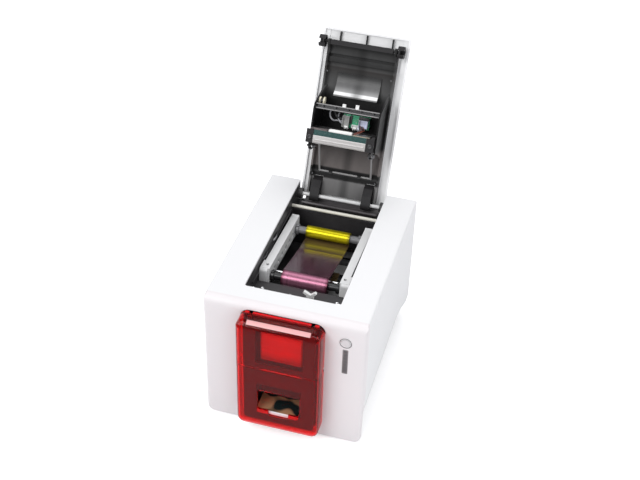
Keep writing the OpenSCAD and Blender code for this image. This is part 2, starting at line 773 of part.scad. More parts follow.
module pulley(y) {
    rod_x(y, axle_z, pulley_r, -gear_x - 7, -gear_x);
    rod_x(y, axle_z, pulley_r + 2, -gear_x - 8, -gear_x - 7);
}

module axle(y) rod_x(y, axle_z, axle_r, -gear_x - 10, side_plate + plate_t + 1);

module platen_roller() color("black") difference() {
    rod_x(platen_y, axle_z, roller_r, print_x - 31, print_x + 31);
    rod_x(platen_y, axle_z, axle_r + 1, print_x - 32, print_x + 32);
}

module platen_shaft() color("silver") {
    rod_x(platen_y, axle_z, axle_r + 1, print_x - 31, print_x + 31);
    rod_x(platen_y, axle_z, axle_r, -gear_x - 10, gear_x + gear_w + 2);
    pulley(platen_y);
}

module feed_roller() color("darkslategray") {
    axle(feed_y);
    rod_x(feed_y, axle_z, feed_r - 1, print_x - 18, print_x + 18);
    for (x = [-18, 6])
        rod_x(feed_y, axle_z, feed_r, print_x + x, print_x + x + 12);
    pulley(feed_y);
}

module transport_roller(y) {
    axle(y);
    for (x = [-30, 10])
        rod_x(y, axle_z, roller_r, print_x + x, print_x + x + 20);
    pulley(y);
}

module front_transport_roller() color("dimgray") transport_roller(front_roller_y);
module rear_transport_roller() color("dimgray") transport_roller(rear_roller_y);

module cleaning_roller() color("slategray") {
    rod_x(front_roller_y, cleaner_z, roller_r, print_x - 31, print_x + 31);
    rod_x(front_roller_y, cleaner_z, axle_r, -liner_half - liner_t, liner_half + liner_t);
}

module drive_belt() color([0.1, 0.1, 0.1]) {
    r = pulley_r + seat_gap;
    difference() {
        along_x(-gear_x - 6.5, -gear_x - 0.5) {
            translate([feed_y, axle_z]) circle(r = r + belt_t);
            translate([rear_roller_y, axle_z]) circle(r = r + belt_t);
            translate([feed_y, axle_z - r - belt_t]) square([rear_roller_y - feed_y, 2 * (r + belt_t)]);
        }
        along_x(-gear_x - 7, -gear_x) {
            translate([feed_y, axle_z]) circle(r = r);
            translate([rear_roller_y, axle_z]) circle(r = r);
            translate([feed_y, axle_z - r]) square([rear_roller_y - feed_y, 2 * r]);
        }
    }
}

module shaft_bushes() color("ivory")
    for (y = [feed_y, front_roller_y, platen_y, rear_roller_y], s = [-1, 1])
    difference() {
        union() {
            rod_x(y, axle_z, axle_r + 2.5 - 0.05, s * (side_plate + plate_t / 2) - plate_t / 2,
                s * (side_plate + plate_t / 2) + plate_t / 2);
            rod_x(y, axle_z, axle_r + 4, s * (side_plate - 0.6) - 0.6, s * (side_plate - 0.6) + 0.6);
        }
        rod_x(y, axle_z, axle_r + run_gap, -half_w, half_w);
    }

// ---------- ribbon cassette ----------

module cassette_frame() color("lightgray") on_cassette() mirror_x() difference() {
    union() {
        slab(rail_half_gap, rail_front + 3, -flange_t, rail_half_gap + rail_w, rail_front + rail_len, 0);
        slab(rail_half_gap, rail_front + 3, -rail_fall, rail_half_gap + rail_t, rail_front + rail_len, 0);
        // broad front end with its curved leg and toe
        along_x(rail_half_gap + rail_t - eps, rail_half_gap + rail_w + 2) rail_leg();
        slab(rail_half_gap, rail_front + 5, -flange_t, rail_half_gap + rail_w + 2, rail_front + 20, 0);
        // outer edge, turned down
        slab(rail_half_gap + rail_w - 1.5, rail_front + 5, -6, rail_half_gap + rail_w, rail_front + 22, 0);
        // rounded hump and stop at the rear end
        rod_x(rail_front + rail_len - 2, -0.8, 1.7, rail_half_gap, rail_half_gap + rail_w);
        // bearing rings of the two cores
        for (s = [front_spool, rear_spool])
            rod_x(s[0], s[1], journal_r + 3, rail_half_gap, rail_half_gap + rail_t + 2);
    }
    for (s = [front_spool, rear_spool])
        rod_x(s[0], s[1], journal_r + run_gap, rail_half_gap - 1, rail_half_gap + 8);
    // finger hole in the flange
    translate([rail_half_gap + rail_w / 2, rail_front + 12, -9]) cylinder(r = 2.2, h = 12);
    for (y = [rail_front + 24 : 16 : rail_front + rail_len - 20])
        if (abs(y - front_spool[0]) > 13 && abs(y - rear_spool[0]) > 13)
            slab(rail_half_gap - 1, y, -rail_fall + 5, rail_half_gap + rail_t + 1, y + 7, -rail_fall + 12);
}

// side view of the leg at a rail's front end
module rail_leg() polygon(concat(corner([rail_front + 5, -5], 5, 90, 180), [[rail_front, -leg_fall + 2],
    [rail_front + 2, -leg_fall], [rail_front + 10, -leg_fall], [rail_front + 10, -leg_fall + 2.5],
    [rail_front + 6, -leg_fall + 5], [rail_front + 3.5, -leg_fall + 9], [rail_front + 3.5, -8],
    [rail_front + 6, -flange_t], [rail_front + 12, -flange_t], [rail_front + 12, 0]]));

module cassette_ties() color("dimgray") on_cassette()
    for (s = [front_spool + [takeup_r + 5, -4], rear_spool + [supply_r + 4, -8]])
        rod_x(s[0], s[1], 1.6, -rail_half_gap, rail_half_gap);

// a wound roll or a core, drawn about a spool's axis
module spool_place(s) on_cassette() translate([0, s[0], s[1]]) children();

module spool_core(s) spool_place(s) {
    rod_x(0, 0, core_r, -rail_half_gap + 1.5, rail_half_gap - 1.5);
    rod_x(0, 0, journal_r, -rail_half_gap - rail_t, rail_half_gap + rail_t);
    mirror_x() difference() {
        rod_x(0, 0, core_r + 2, rail_half_gap - 5, rail_half_gap - 1.5);
        for (a = [0:60:300])
            rotate([a, 0, 0]) slab(rail_half_gap - 6, core_r + 0.6, -1, rail_half_gap, core_r + 3, 1);
    }
}

module spool_roll(s, r) spool_place(s) difference() {
    rod_x(0, 0, r, -film_w / 2, film_w / 2);
    rod_x(0, 0, core_r, -film_w / 2 - 1, film_w / 2 + 1);
}

module supply_core() color("lightgray") spool_core(rear_spool);
module supply_roll() color("gold") spool_roll(rear_spool, supply_r);
module takeup_core() color("dimgray") spool_core(front_spool);
module takeup_roll() color("palevioletred") spool_roll(front_spool, takeup_r);

// a spool's axis in the part's own frame, as (y, z)
function spool_yz(s) = [platen_y + s[0] * cos(cassette_tilt) + s[1] * sin(cassette_tilt),
    rail_top_z - s[0] * sin(cassette_tilt) + s[1] * cos(cassette_tilt)];

// film from the point p to where it meets a roll of radius r at c, on the side that side names
function tangent_at(p, c, r, side) =
    let (v = p - c, d = norm(v), base = atan2(v[1], v[0]), open = acos(r / d))
    c + r * [cos(base + side * open), sin(base + side * open)];

module film_strip(a, b) along_x(print_x - film_w / 2, print_x + film_w / 2) {
    u = (b - a) / norm(b - a);
    n = film_t / 2 * [-u[1], u[0]];
    polygon([a - n, b - n, b + n, a + n]);
}

module yellow_panel() color("olive", 0.8) film_strip(web_low,
    tangent_at(web_low, spool_yz(rear_spool), supply_r + seat_gap, 1));
module magenta_panel() color("purple", 0.8) film_strip(tangent_at(web_low, spool_yz(front_spool),
    takeup_r + seat_gap, 1), web_low);

// ---------- lid ----------

module lid_shell() color("whitesmoke") on_lid() {
    difference() {
        intersection() {
            along_y(0, lid_len) polygon(rounded(-lid_half, skin_d, lid_half, skin_d + 6, [2, 2, 0, 0]));
            translate([0, 0, skin_d - 1]) linear_extrude(10)
                polygon(rounded(-lid_half, 0, lid_half, lid_len, [0, 0, 3.5, 3.5]));
        }
        slab(-lid_half + skin_t, -1, base_d, lid_half - skin_t, lid_len - skin_t, 0);
    }
    // step across the border of the end part
    mirror_x() slab(lid_half - 9, latch_a - 28, base_d - eps,
        lid_half - skin_t + eps, lid_len - skin_t + eps, base_d + 1.2);
}

module lid_liner() color([0.25, 0.25, 0.26]) on_lid() translate([print_x, 0, 0]) {
    w = lid_liner_half;
    a0 = 3;
    a1 = latch_a - 3;
    difference() {
        slab(-w, a0, base_d, w, a1, liner_d);
        slab(-w + 2.5, bail_low[0] - 8.5, floor_d, w - 2.5, a1 - 2.5, 1);
        slab(-w + 2.5, a0 - 1, floor_d + 4, w - 2.5, bail_low[0] - 8, 1);
        // notches for the hinge arms
        for (x = [-arm_x, arm_x])
            slab(x + 0.2 - arm_w / 2 - seat_gap, a0 - 1, base_d - 1, x + 0.2 + arm_w / 2 + seat_gap, 27, 1);
    }
    // two steps across the flat end, lower towards the shield
    for (p = [[12, 2, 6], [23, 16, 4]])
        slab(-w + 2.5 - eps, a1 - p[0], floor_d - eps, w - 2.5 + eps, a1 - p[1], floor_d + p[2]);
    // ribs that stand on the free end of the lid
    for (x = [-34, 2.2, 37.5])
        slab(x - 0.8, a1 - eps, base_d, x + 0.8, lid_len - skin_t - 1, base_d + 5);
    // raised panel behind the bail, and the bail's clips
    slab(-34, bail_low[0] + 4, floor_d - eps, 34, well_a0 + 10, floor_d + 1.4);
    for (x = [-20, 20]) difference() {
        slab(x - 2.5, bail_low[0] - 2.2, floor_d - eps, x + 2.5, bail_low[0] + 2.2, bail_low[1] + 2.2);
        rod_x(bail_low[0], bail_low[1], bail_r + run_gap, x - 3, x + 3);
    }
    // side plates of the head well
    mirror_x() along_x(rail_half_gap - 3, rail_half_gap - 0.8)
        polygon([[well_a0, base_d + 1], [well_a0 + 2, 0], [well_a0 + 9, 22], [well_a0 + 12, 40],
            [well_a0 + 16, 43], [well_a1 - 30, 43], [well_a1 - 23, 40], [well_a1 - 4, 4],
            [well_a1, base_d + 1]]);
    // arms of the well that carry the latch bar
    mirror_x() difference() {
        along_x(w - 4, w - 1) polygon([[a1 - 12, -6], [a1 - 3, -6], [latch_a + 4, latch_d - 4],
            [latch_a + 4, latch_d + 4], [latch_a - 4, latch_d + 4], [a1 - 12, -2]]);
        rod_x(latch_a, latch_d, latch_r + run_gap, 0, 80);
    }
}

module hinge_arms() color([0.16, 0.16, 0.17])
    on_lid() translate([print_x + 0.2, 0, 0]) mirror_x() difference() {
    union() {
        rod_x(0, 0, eye_r, arm_x - arm_w / 2, arm_x + arm_w / 2);
        along_x(arm_x - arm_w / 2, arm_x + arm_w / 2)
            polygon([[0, base_d], [26, base_d], [26, base_d + 2.4], [22, 0], [12, 5], [0, eye_r], [-3, 0]]);
    }
    rod_x(0, 0, shaft_r + run_gap, 0, 80);
}

// quarter-round tail that closes the back of the hinge
module hinge_barrel() color([0.2, 0.2, 0.21]) on_lid() difference() {
    rod_x(0, 0, hinge_drop, -barrel_half, barrel_half);
    rod_x(0, 0, hinge_drop - shell_t, -barrel_half - 1, barrel_half + 1);
    along_x(-barrel_half - 1, barrel_half + 1)
        polygon([[0, -40], [40, -40], [40, 40], [-20, 40], [-20, 20], [0, 0]]);
}

// curved plate that stands under the take-up roll when the lid is shut, on two gussets
module spool_shield() color("darkgray")
    on_lid() translate([print_x, hinge_y - front_axis[0], floor_d + shield_r + 2]) {
    difference() {
        rod_x(0, 0, shield_r + 1.5, -30, 30);
        rod_x(0, 0, shield_r, -31, 31);
        along_x(-31, 31) polygon([[-60, -18], [60, -18], [60, 60], [-60, 60]]);
        along_x(-31, 31) polygon([[5, -60], [60, -60], [60, 60], [5, 60]]);
    }
    for (x = [-20, 20]) difference() {
        slab(x - 1, -22, -shield_r - 2, x + 1, 4, -22);
        rod_x(0, 0, shield_r + 1, -31, 31);
    }
}
shield_r = 30;
front_axis = spool_yz(front_spool);

module cross_rail() color([0.25, 0.25, 0.26]) on_lid() translate([print_x, 0, 0]) {
    x = rail_half_gap - 3;
    a = well_a1 - 29;
    along_x(-x, x) polygon([[a, 32], [a + 6, 32], [a + 6, 34], [a + 2.5, 34], [a + 2.5, 38], [a, 38]]);
    for (i = [-2:2])
        slab(i * 17 - 1, a + 2.4, 33.9, i * 17 + 1, a + 6, 38);
}

// bail of round wire that slopes from the lid's floor up to the side plates of the head well
module window_frame() color("lightgray") on_lid() translate([print_x, 0, 0]) {
    run = bail_top - bail_low;
    rod_x(bail_low[0], bail_low[1], bail_r, -bail_x, bail_x);
    mirror_x() {
        translate([bail_x, bail_low[0], bail_low[1]]) {
            sphere(r = bend_r);
            rotate([-atan2(run[0], run[1]), 0, 0]) cylinder(r = bail_r, h = norm(run));
        }
        translate([bail_x, bail_top[0], bail_top[1]]) sphere(r = bend_r);
        rod_x(bail_top[0], bail_top[1], bail_r, bail_x, rail_half_gap - 3);
    }
}

module head_board() color("darkgreen") on_lid() translate([print_x, 0, 0]) {
    slab(-10.5, board_a - 5, floor_d + 16, 25.5, board_a + 12, floor_d + 17.6);
    for (x = [-7, 22], a = [board_a - 2, board_a + 9])
        translate([x, a, floor_d - eps]) cylinder(r = 2, h = 16 + 2 * eps);
}

module head_connectors() color("ivory") on_lid() translate([print_x, board_a, floor_d + 17.6]) {
    // sockets, open on their top
    for (p = [[-10.5, -5, 9, 15, 6], [12, -3, 12, 10, 6], [2.5, -5, 9, 4.5, 4]])
        translate([p[0], p[1], 0]) difference() {
            cube([p[2], p[3], p[4]]);
            translate([1, 1, p[4] - 2.5]) cube([p[2] - 2, p[3] - 2, 4]);
        }
}

// square bar with a rotary claw at each end
module latch_bar() color([0.12, 0.12, 0.13]) on_lid() translate([latch_x, latch_a, latch_d]) difference() {
    union() {
        rod_x(0, 0, latch_r, -claw_in - 2, claw_in + 2);
        slab(-lid_liner_half + 5.4, -3.2, -3, lid_liner_half - 5.4, 3.2, 3);
        mirror_x() rod_x(0, 0, claw_r, claw_in, claw_in + claw_w);
    }
    mirror_x() {
        // mouth that takes the latch pin
        slab(claw_in + 3, -pin_r - 0.6, 0, 80, pin_r + 0.6, claw_r + 1);
        rod_x(0, 0, pin_r + 0.6, claw_in + 3, 80);
        // hollow of the inner face
        difference() {
            union() {
                rod_x(0, 0, claw_r - 2, claw_in - 1, claw_in + 1.6);
                slab(claw_in - 1, -2.6, 0, claw_in + 1.6, 2.6, claw_r + 1);
            }
            rod_x(0, 0, latch_r, 0, 80);
        }
    }
}

// ---------- print head ----------

module head_carrier() color([0.15, 0.15, 0.16]) on_lid() translate([print_x, head_a0, 0]) {
    // bridge and side cheeks
    slab(-cheek_x, -1.5, 20, cheek_x, 18.5, 22.5);
    mirror_x() difference() {
        along_x(cheek_x - 3, cheek_x) polygon([[-1.5, 20], [18.5, 20], [18.5, head_depth - 14],
            [14, head_depth - 9], [0, head_depth - 9], [-6, head_depth - 12], [-5, head_depth - 19],
            [-1.5, head_depth - 24]]);
        rod_x(7.5, head_depth - 13, pivot_r + run_gap, 0, 80);
    }
    mirror_x() {
        // seat of the screw at the head's end
        difference() {
            translate([ear_c, 7.5, head_depth - 9 - eps]) cylinder(r = 4.4, h = 3.4);
            translate([ear_c, 7.5, head_depth - 9]) cylinder(r = 1.4, h = 6);
        }
        // guide peg that finds the cassette
        translate([cheek_x - 1.8, -4, head_depth - 13]) cylinder(r = 1.8, h = 9);
        translate([cheek_x - 1.8, -4, head_depth - 4 - eps]) cylinder(r1 = 1.8, r2 = 1, h = 1.2);
    }
    // cups that the heat sink rests in
    for (x = [-26, 26])
        translate([x, 7.5, 22.5 - eps]) cylinder(r = 5, h = 7.5 + eps);
}
cheek_x = rail_half_gap - 3.5;
pivot_r = 2.5;
ear_c = 40.4;

module heat_sink() color("lightgray") on_lid() translate([print_x, head_a0, 0]) {
    difference() {
        slab(-36, 0, 30, 36, 17.5, head_depth - 4);
        for (i = [-8:8])
            slab(i * 4 - 1.1, -1, 34, i * 4 + 1.1, 10.5, head_depth - 18);
    }
    // pivots held in the cheeks
    mirror_x() rod_x(7.5, head_depth - 13, pivot_r, 36 - eps, cheek_x);
    // ears for the end screws
    mirror_x() difference() {
        union() {
            slab(36 - eps, 4.5, head_depth - 5.6, ear_c, 10.5, head_depth - 4);
            translate([ear_c, 7.5, head_depth - 5.6]) cylinder(r = 4.6, h = 1.6);
        }
        translate([ear_c, 7.5, head_depth - 7]) cylinder(r = 1.7, h = 4);
    }
}

// ceramic strip with its bead of heating dots, and the circuit strip behind it
module thermal_head() color("lightgray") on_lid() translate([print_x, head_a0, head_depth - 4]) {
    along_x(-35.5, 34.5) polygon([[0.3, 0], [10.4, 0], [10.4, 1.6], [9.2, 2.4], [1.6, 2.4], [0.3, 1]]);
    rod_x(head_reach - head_a0, 2.3, 1.2, -33, 33);
    slab(-35.5, 10.4 - eps, 0, 34.5, 17.5, 1.3);
    for (i = [-4:4])
        slab(i * 7 - 2.2, 12.6, 1.3 - eps, i * 7 + 2.2, 14.6, 1.9);
}

casing_shell();
front_panel();
rear_panel();
base_tray();
rubber_feet();
chassis_frame();
bay_liner();
rear_trough();
card_plate();
hinge_shaft();
cross_bar();
latch_pins();
feeder_frame();
card_stack();
hopper_tray();
printed_cards();
hopper_cover();
feeder_cover();
cover_grip();
button_ring();
button_cap();
led_bar();
gauge_scale();
gauge_lever();
main_board();
power_inlet();
usb_socket();
network_socket();
drive_motor();
motor_pinion();
drive_belt();
shaft_bushes();
platen_roller();
platen_shaft();
platen_gear();
feed_roller();
front_transport_roller();
rear_transport_roller();
cleaning_roller();
cassette_frame();
cassette_ties();
yellow_panel();
magenta_panel();
supply_core();
supply_roll();
takeup_core();
takeup_roll();
lid_shell();
lid_liner();
hinge_arms();
hinge_barrel();
spool_shield();
cross_rail();
window_frame();
head_board();
head_connectors();
latch_bar();
head_carrier();
heat_sink();
thermal_head();
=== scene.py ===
"""Looks of a desktop card printer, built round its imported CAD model.

Every piece is in metres in the CAD model's own frame: +X to the right of
someone facing the front, +Y to the rear, +Z up, origin under the base tray.
Pieces of the lid are first drawn in millimetres across the lid, along it from
the hinge, and inward of the hinge; LID then stands them in the open lid.
"""
import math

import bpy
import bmesh
from mathutils import Matrix, Vector


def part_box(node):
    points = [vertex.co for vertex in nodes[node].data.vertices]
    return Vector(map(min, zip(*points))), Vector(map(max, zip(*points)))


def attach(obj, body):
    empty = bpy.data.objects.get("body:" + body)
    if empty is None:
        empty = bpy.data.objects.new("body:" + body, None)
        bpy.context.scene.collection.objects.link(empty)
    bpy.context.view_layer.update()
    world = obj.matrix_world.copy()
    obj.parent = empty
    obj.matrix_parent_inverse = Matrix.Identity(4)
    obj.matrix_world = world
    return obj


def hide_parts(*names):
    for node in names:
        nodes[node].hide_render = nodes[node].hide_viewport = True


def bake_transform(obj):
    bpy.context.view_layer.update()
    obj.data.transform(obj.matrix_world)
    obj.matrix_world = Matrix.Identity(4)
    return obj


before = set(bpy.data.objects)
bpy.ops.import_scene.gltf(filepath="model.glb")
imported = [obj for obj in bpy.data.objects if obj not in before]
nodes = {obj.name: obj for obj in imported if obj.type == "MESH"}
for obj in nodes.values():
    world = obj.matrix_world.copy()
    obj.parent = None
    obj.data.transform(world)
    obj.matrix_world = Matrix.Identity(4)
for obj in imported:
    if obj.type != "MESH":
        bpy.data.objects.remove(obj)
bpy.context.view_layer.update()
MM = 0.001

# ---------------------------------------------------------------- places

HINGE = Vector((0, 0.126, 0.177))
LEAN = math.radians(25.9)
ALONG = Vector((0, math.sin(LEAN), math.cos(LEAN)))
INWARD = Vector((0, -math.cos(LEAN), math.sin(LEAN)))
LID = Matrix((
    (1, 0, 0, 0),
    (0, ALONG.y, INWARD.y, HINGE.y),
    (0, ALONG.z, INWARD.z, HINGE.z),
    (0, 0, 0, 1)))

# in millimetres
PRINT_X = -1.5           # middle of the print width
HEAD_END = 61.0          # heat sink's face with the ceramic strip, inward
HEAD_TOP = 97.0          # heat sink's side towards the lid's free end, along
BOARD_FACE = 7.6         # face of the lid's circuit board, inward
LID_FLOOR = -10.0        # floor of the lid's well, inward
LINING_FACE = -1.2       # face of the lid's lining, inward
SEAT = 0.05              # how far a piece is let into what carries it
FINE_SEAT = 0.02


# -------------------------------------------------------- shader's parts

GRAIN_DEPTH = 0.00008    # depths of a surface's relief, in metres
LINE_DEPTH = 0.00005
CASING_DEPTH = 0.00006
FLOW_DEPTH = 0.0004
CREASE_DEPTH = 0.0006


def new_material(name):
    """A material with its shader linked up, and the coordinates for its patterns."""
    material = bpy.data.materials.new(name)
    material.use_nodes = True
    tree = material.node_tree
    tree.nodes.clear()
    output = tree.nodes.new("ShaderNodeOutputMaterial")
    shader = tree.nodes.new("ShaderNodeBsdfPrincipled")
    tree.links.new(shader.outputs["BSDF"], output.inputs["Surface"])
    coords = tree.nodes.new("ShaderNodeTexCoord")
    return material, tree, shader, coords


def noise(tree, coords, scale, detail, stretch=(1, 1, 1)):
    """Noise on object coordinates; scale counts features per metre."""
    mapping = tree.nodes.new("ShaderNodeMapping")
    mapping.inputs["Scale"].default_value = stretch
    texture = tree.nodes.new("ShaderNodeTexNoise")
    texture.inputs["Scale"].default_value = scale
    texture.inputs["Detail"].default_value = detail
    tree.links.new(coords.outputs["Object"], mapping.inputs["Vector"])
    tree.links.new(mapping.outputs["Vector"], texture.inputs["Vector"])
    return texture.outputs["Fac"]


def stops(tree, value, marks):
    """A ramp through several (place, colour) marks of a value from 0 to 1."""
    ramp = tree.nodes.new("ShaderNodeValToRGB")
    elements = ramp.color_ramp.elements
    for element, (place, colour) in ((elements[0], marks[0]), (elements[1], marks[-1])):
        element.position = place
        element.color = (*colour, 1)
    for place, colour in marks[1:-1]:
        elements.new(place).color = (*colour, 1)
    tree.links.new(value, ramp.inputs["Fac"])
    return ramp.outputs["Color"]


def two_tone(tree, value, dark, light, low=0.3, high=0.7):
    """Runs from a dark to a light colour as a value goes from low to high."""
    return stops(tree, value, ((low, dark), (high, light)))


def spread(tree, value, low, high):
    """Stretches a value from 0 to 1 over another range."""
    node = tree.nodes.new("ShaderNodeMapRange")
    node.inputs["To Min"].default_value = low
    node.inputs["To Max"].default_value = high
    tree.links.new(value, node.inputs["Value"])
    return node.outputs["Result"]


def step_between(tree, value, low, high):
    """0 below low, 1 above high, and a straight run between."""
    node = tree.nodes.new("ShaderNodeMapRange")
    node.inputs["From Min"].default_value = low
    node.inputs["From Max"].default_value = high
    tree.links.new(value, node.inputs["Value"])
    return node.outputs["Result"]


def calc(tree, operation, first, second=None, clamp=False):
    """Sums, products and the like, of values and plain numbers."""
    node = tree.nodes.new("ShaderNodeMath")
    node.operation = operation
    node.use_clamp = clamp
    for socket, value in zip(node.inputs, (first, second)):
        if isinstance(value, (int, float)):
            socket.default_value = value
        elif value is not None:
            tree.links.new(value, socket)
    return node.outputs[0]


def mix_colour(tree, fac, first, second):
    """The first colour where a value is 0, and the second where it is 1."""
    node = tree.nodes.new("ShaderNodeMix")
    node.data_type = "RGBA"
    tree.links.new(fac, node.inputs["Factor"])
    colour_a, colour_b = (socket for socket in node.inputs if socket.type == "RGBA")
    for socket, value in ((colour_a, first), (colour_b, second)):
        if isinstance(value, tuple):
            socket.default_value = (*value, 1)
        else:
            tree.links.new(value, socket)
    return next(socket for socket in node.outputs if socket.type == "RGBA")


def axis_value(tree, coords, axis):
    """A place along one axis, in metres."""
    split = tree.nodes.new("ShaderNodeSeparateXYZ")
    tree.links.new(coords.outputs["Object"], split.inputs["Vector"])
    return split.outputs[axis]


def along_lid(tree, coords, low, high):
    """0 to 1 between two places along the open lid, in millimetres from its hinge."""
    up = tree.nodes.new("ShaderNodeVectorMath")
    up.operation = "DOT_PRODUCT"
    up.inputs[1].default_value = ALONG
    tree.links.new(coords.outputs["Object"], up.inputs[0])
    start = HINGE.dot(ALONG)
    return step_between(tree, up.outputs["Value"], start + low * MM, start + high * MM)


def paint(tree, shader, colour):
    """Gives the surface a colour that other nodes make."""
    tree.links.new(colour, shader.inputs["Base Color"])


def roughen(tree, shader, pattern, low, high):
    """Lets the gloss wander with a pattern, between two roughnesses."""
    tree.links.new(spread(tree, pattern, low, high), shader.inputs["Roughness"])


def bump(tree, shader, pattern, strength, depth):
    """Raises the surface by a pattern, to a depth in metres."""
    node = tree.nodes.new("ShaderNodeBump")
    node.inputs["Strength"].default_value = strength
    node.inputs["Distance"].default_value = depth
    tree.links.new(pattern, node.inputs["Height"])
    tree.links.new(node.outputs["Normal"], shader.inputs["Normal"])


def shade(colour, factor):
    """A colour made darker or lighter."""
    return tuple(min(1.0, c * factor) for c in colour)


# -------------------------------------------------------------- finishes


def moulded(name, colour, rough, grain=2600, relief=0.15, vary=0.05, specular=0.5):
    """Moulded plastic or a coat: fine grain, and slow changes of tone and gloss."""
    material, tree, shader, coords = new_material(name)
    tone = noise(tree, coords, scale=14, detail=2)
    paint(tree, shader, two_tone(tree, tone, shade(colour, 1 - vary), shade(colour, 1 + vary)))
    roughen(tree, shader, noise(tree, coords, scale=60, detail=3), rough - 0.06, rough + 0.06)
    shader.inputs["Specular IOR Level"].default_value = specular
    bump(tree, shader, noise(tree, coords, grain, detail=1), relief, GRAIN_DEPTH)
    return material


def brushed(name, colour, rough, stretch=(0.02, 1, 1)):
    """Metal with fine lines drawn along one axis."""
    material, tree, shader, coords = new_material(name)
    shader.inputs["Metallic"].default_value = 1.0
    lines = noise(tree, coords, scale=1800, detail=2, stretch=stretch)
    paint(tree, shader, two_tone(tree, lines, shade(colour, 0.94), shade(colour, 1.06)))
    roughen(tree, shader, lines, rough - 0.08, rough + 0.1)
    bump(tree, shader, lines, 0.12, LINE_DEPTH)
    return material


def tinted(name, colour, rough, clear):
    """Tinted plastic with faint flow marks, from solid (0) to clear (1)."""
    material, tree, shader, coords = new_material(name)
    tone = noise(tree, coords, scale=9, detail=2)
    paint(tree, shader, two_tone(tree, tone, shade(colour, 0.94), shade(colour, 1.04)))
    roughen(tree, shader, noise(tree, coords, scale=40, detail=3), rough - 0.03, rough + 0.04)
    shader.inputs["Transmission Weight"].default_value = clear
    shader.inputs["IOR"].default_value = 1.22
    shader.inputs["Specular IOR Level"].default_value = 0.3
    bump(tree, shader, noise(tree, coords, scale=25, detail=1), 0.05, FLOW_DEPTH)
    return material


def film(name, colour, stretch):
    """Stretched film with long shallow creases that run with the web."""
    material, tree, shader, coords = new_material(name)
    creases = noise(tree, coords, scale=90, detail=4, stretch=stretch)
    paint(tree, shader, two_tone(tree, creases, shade(colour, 0.7), shade(colour, 1.25)))
    roughen(tree, shader, creases, 0.12, 0.28)
    shader.inputs["Coat Weight"].default_value = 0.6
    shader.inputs["Coat Roughness"].default_value = 0.12
    bump(tree, shader, creases, 0.35, CREASE_DEPTH)
    return material


ROLL_LEFT, ROLL_RIGHT = -0.0315, 0.0285      # ends of the film on its rolls
ROLL_BAND = 0.004                            # width of the darker band at each end


def wound(name, colour, end_colour):
    """A glossy roll of film: fine winding lines, and darker bands near its two ends."""
    material, tree, shader, coords = new_material(name)
    across = axis_value(tree, coords, "X")
    ends = calc(tree, "MAXIMUM", step_between(tree, across, ROLL_RIGHT - ROLL_BAND, ROLL_RIGHT),
                step_between(tree, across, ROLL_LEFT + ROLL_BAND, ROLL_LEFT))
    lines = noise(tree, coords, scale=700, detail=2, stretch=(1, 0.05, 0.05))
    tone = two_tone(tree, lines, shade(colour, 0.9), shade(colour, 1.08))
    paint(tree, shader, mix_colour(tree, ends, tone, end_colour))
    roughen(tree, shader, lines, 0.24, 0.36)
    shader.inputs["Metallic"].default_value = 0.7
    bump(tree, shader, lines, 0.15, GRAIN_DEPTH)
    return material


LOW_GREY_HEIGHT = 0.03        # how far up from a low edge the greying reaches


def casing_finish(name, colour, rough, low):
    """Pale outer plastic with a fine texture, slightly greyer in patches near its low edge."""
    material, tree, shader, coords = new_material(name)
    tone = noise(tree, coords, scale=6, detail=4)
    clean = two_tone(tree, tone, shade(colour, 0.975), shade(colour, 1.01))
    height = axis_value(tree, coords, "Z")
    # greyer in patches towards the low edge
    low_grey = calc(tree, "MULTIPLY", step_between(tree, height, low + LOW_GREY_HEIGHT, low),
               spread(tree, noise(tree, coords, scale=35, detail=4), 0, 0.5))
    paint(tree, shader, mix_colour(tree, low_grey, clean, shade(colour, 0.9)))
    roughen(tree, shader, noise(tree, coords, scale=50, detail=3), rough - 0.05, rough + 0.07)
    bump(tree, shader, noise(tree, coords, scale=2400, detail=1), 0.12, CASING_DEPTH)
    return material


# tones along the open lid, each as (millimetres from the hinge, brightness, warmth); the lining's tones are
# partly its own and partly painted shade, with a painted shadow under the bail and the well painted near black
LINING_TONES_AND_SHADE = (
    (0, 0.12, 0.02), (25, 0.17, 0.02), (27, 0.02, 0.02), (31, 0.012, 0), (33, 0.06, 0),
    (36, 0.012, 0), (40, 0.012, 0), (41.5, 0.13, 0.12), (72, 0.10, 0.12), (78, 0.015, 0),
    (98, 0.006, 0), (132, 0.008, 0), (139, 0.03, 0), (150, 0.09, 0), (160, 0.07, 0),
    (171, 0.04, 0.04), (176, 0.028, 0.1), (178, 0.06, 0.02), (183, 0.025, 0), (196, 0.045, 0),
    (205, 0.02, 0), (224, 0.03, 0))
# the shield's tones paint a highlight on its lower lip, and painted shade that darkens up from it
SHIELD_HIGHLIGHT_AND_SHADE = (
    (139, 0.2, 0), (140.6, 0.25, 0), (141.2, 0.98, 0), (144.6, 0.95, 0), (145.6, 0.34, 0),
    (152, 0.17, 0), (160, 0.07, 0), (170, 0.03, 0))
# a painted dark reflection runs up the middle of the lid
REFLECTION_STREAK_X = -0.5 * MM                         # middle of the dark streak up the lid
REFLECTION_STREAK_HALF = (2 * MM, 9 * MM)               # where it starts to fade, and where it ends
REFLECTION_STREAK_BLACK = (0.004, 0.004, 0.004)


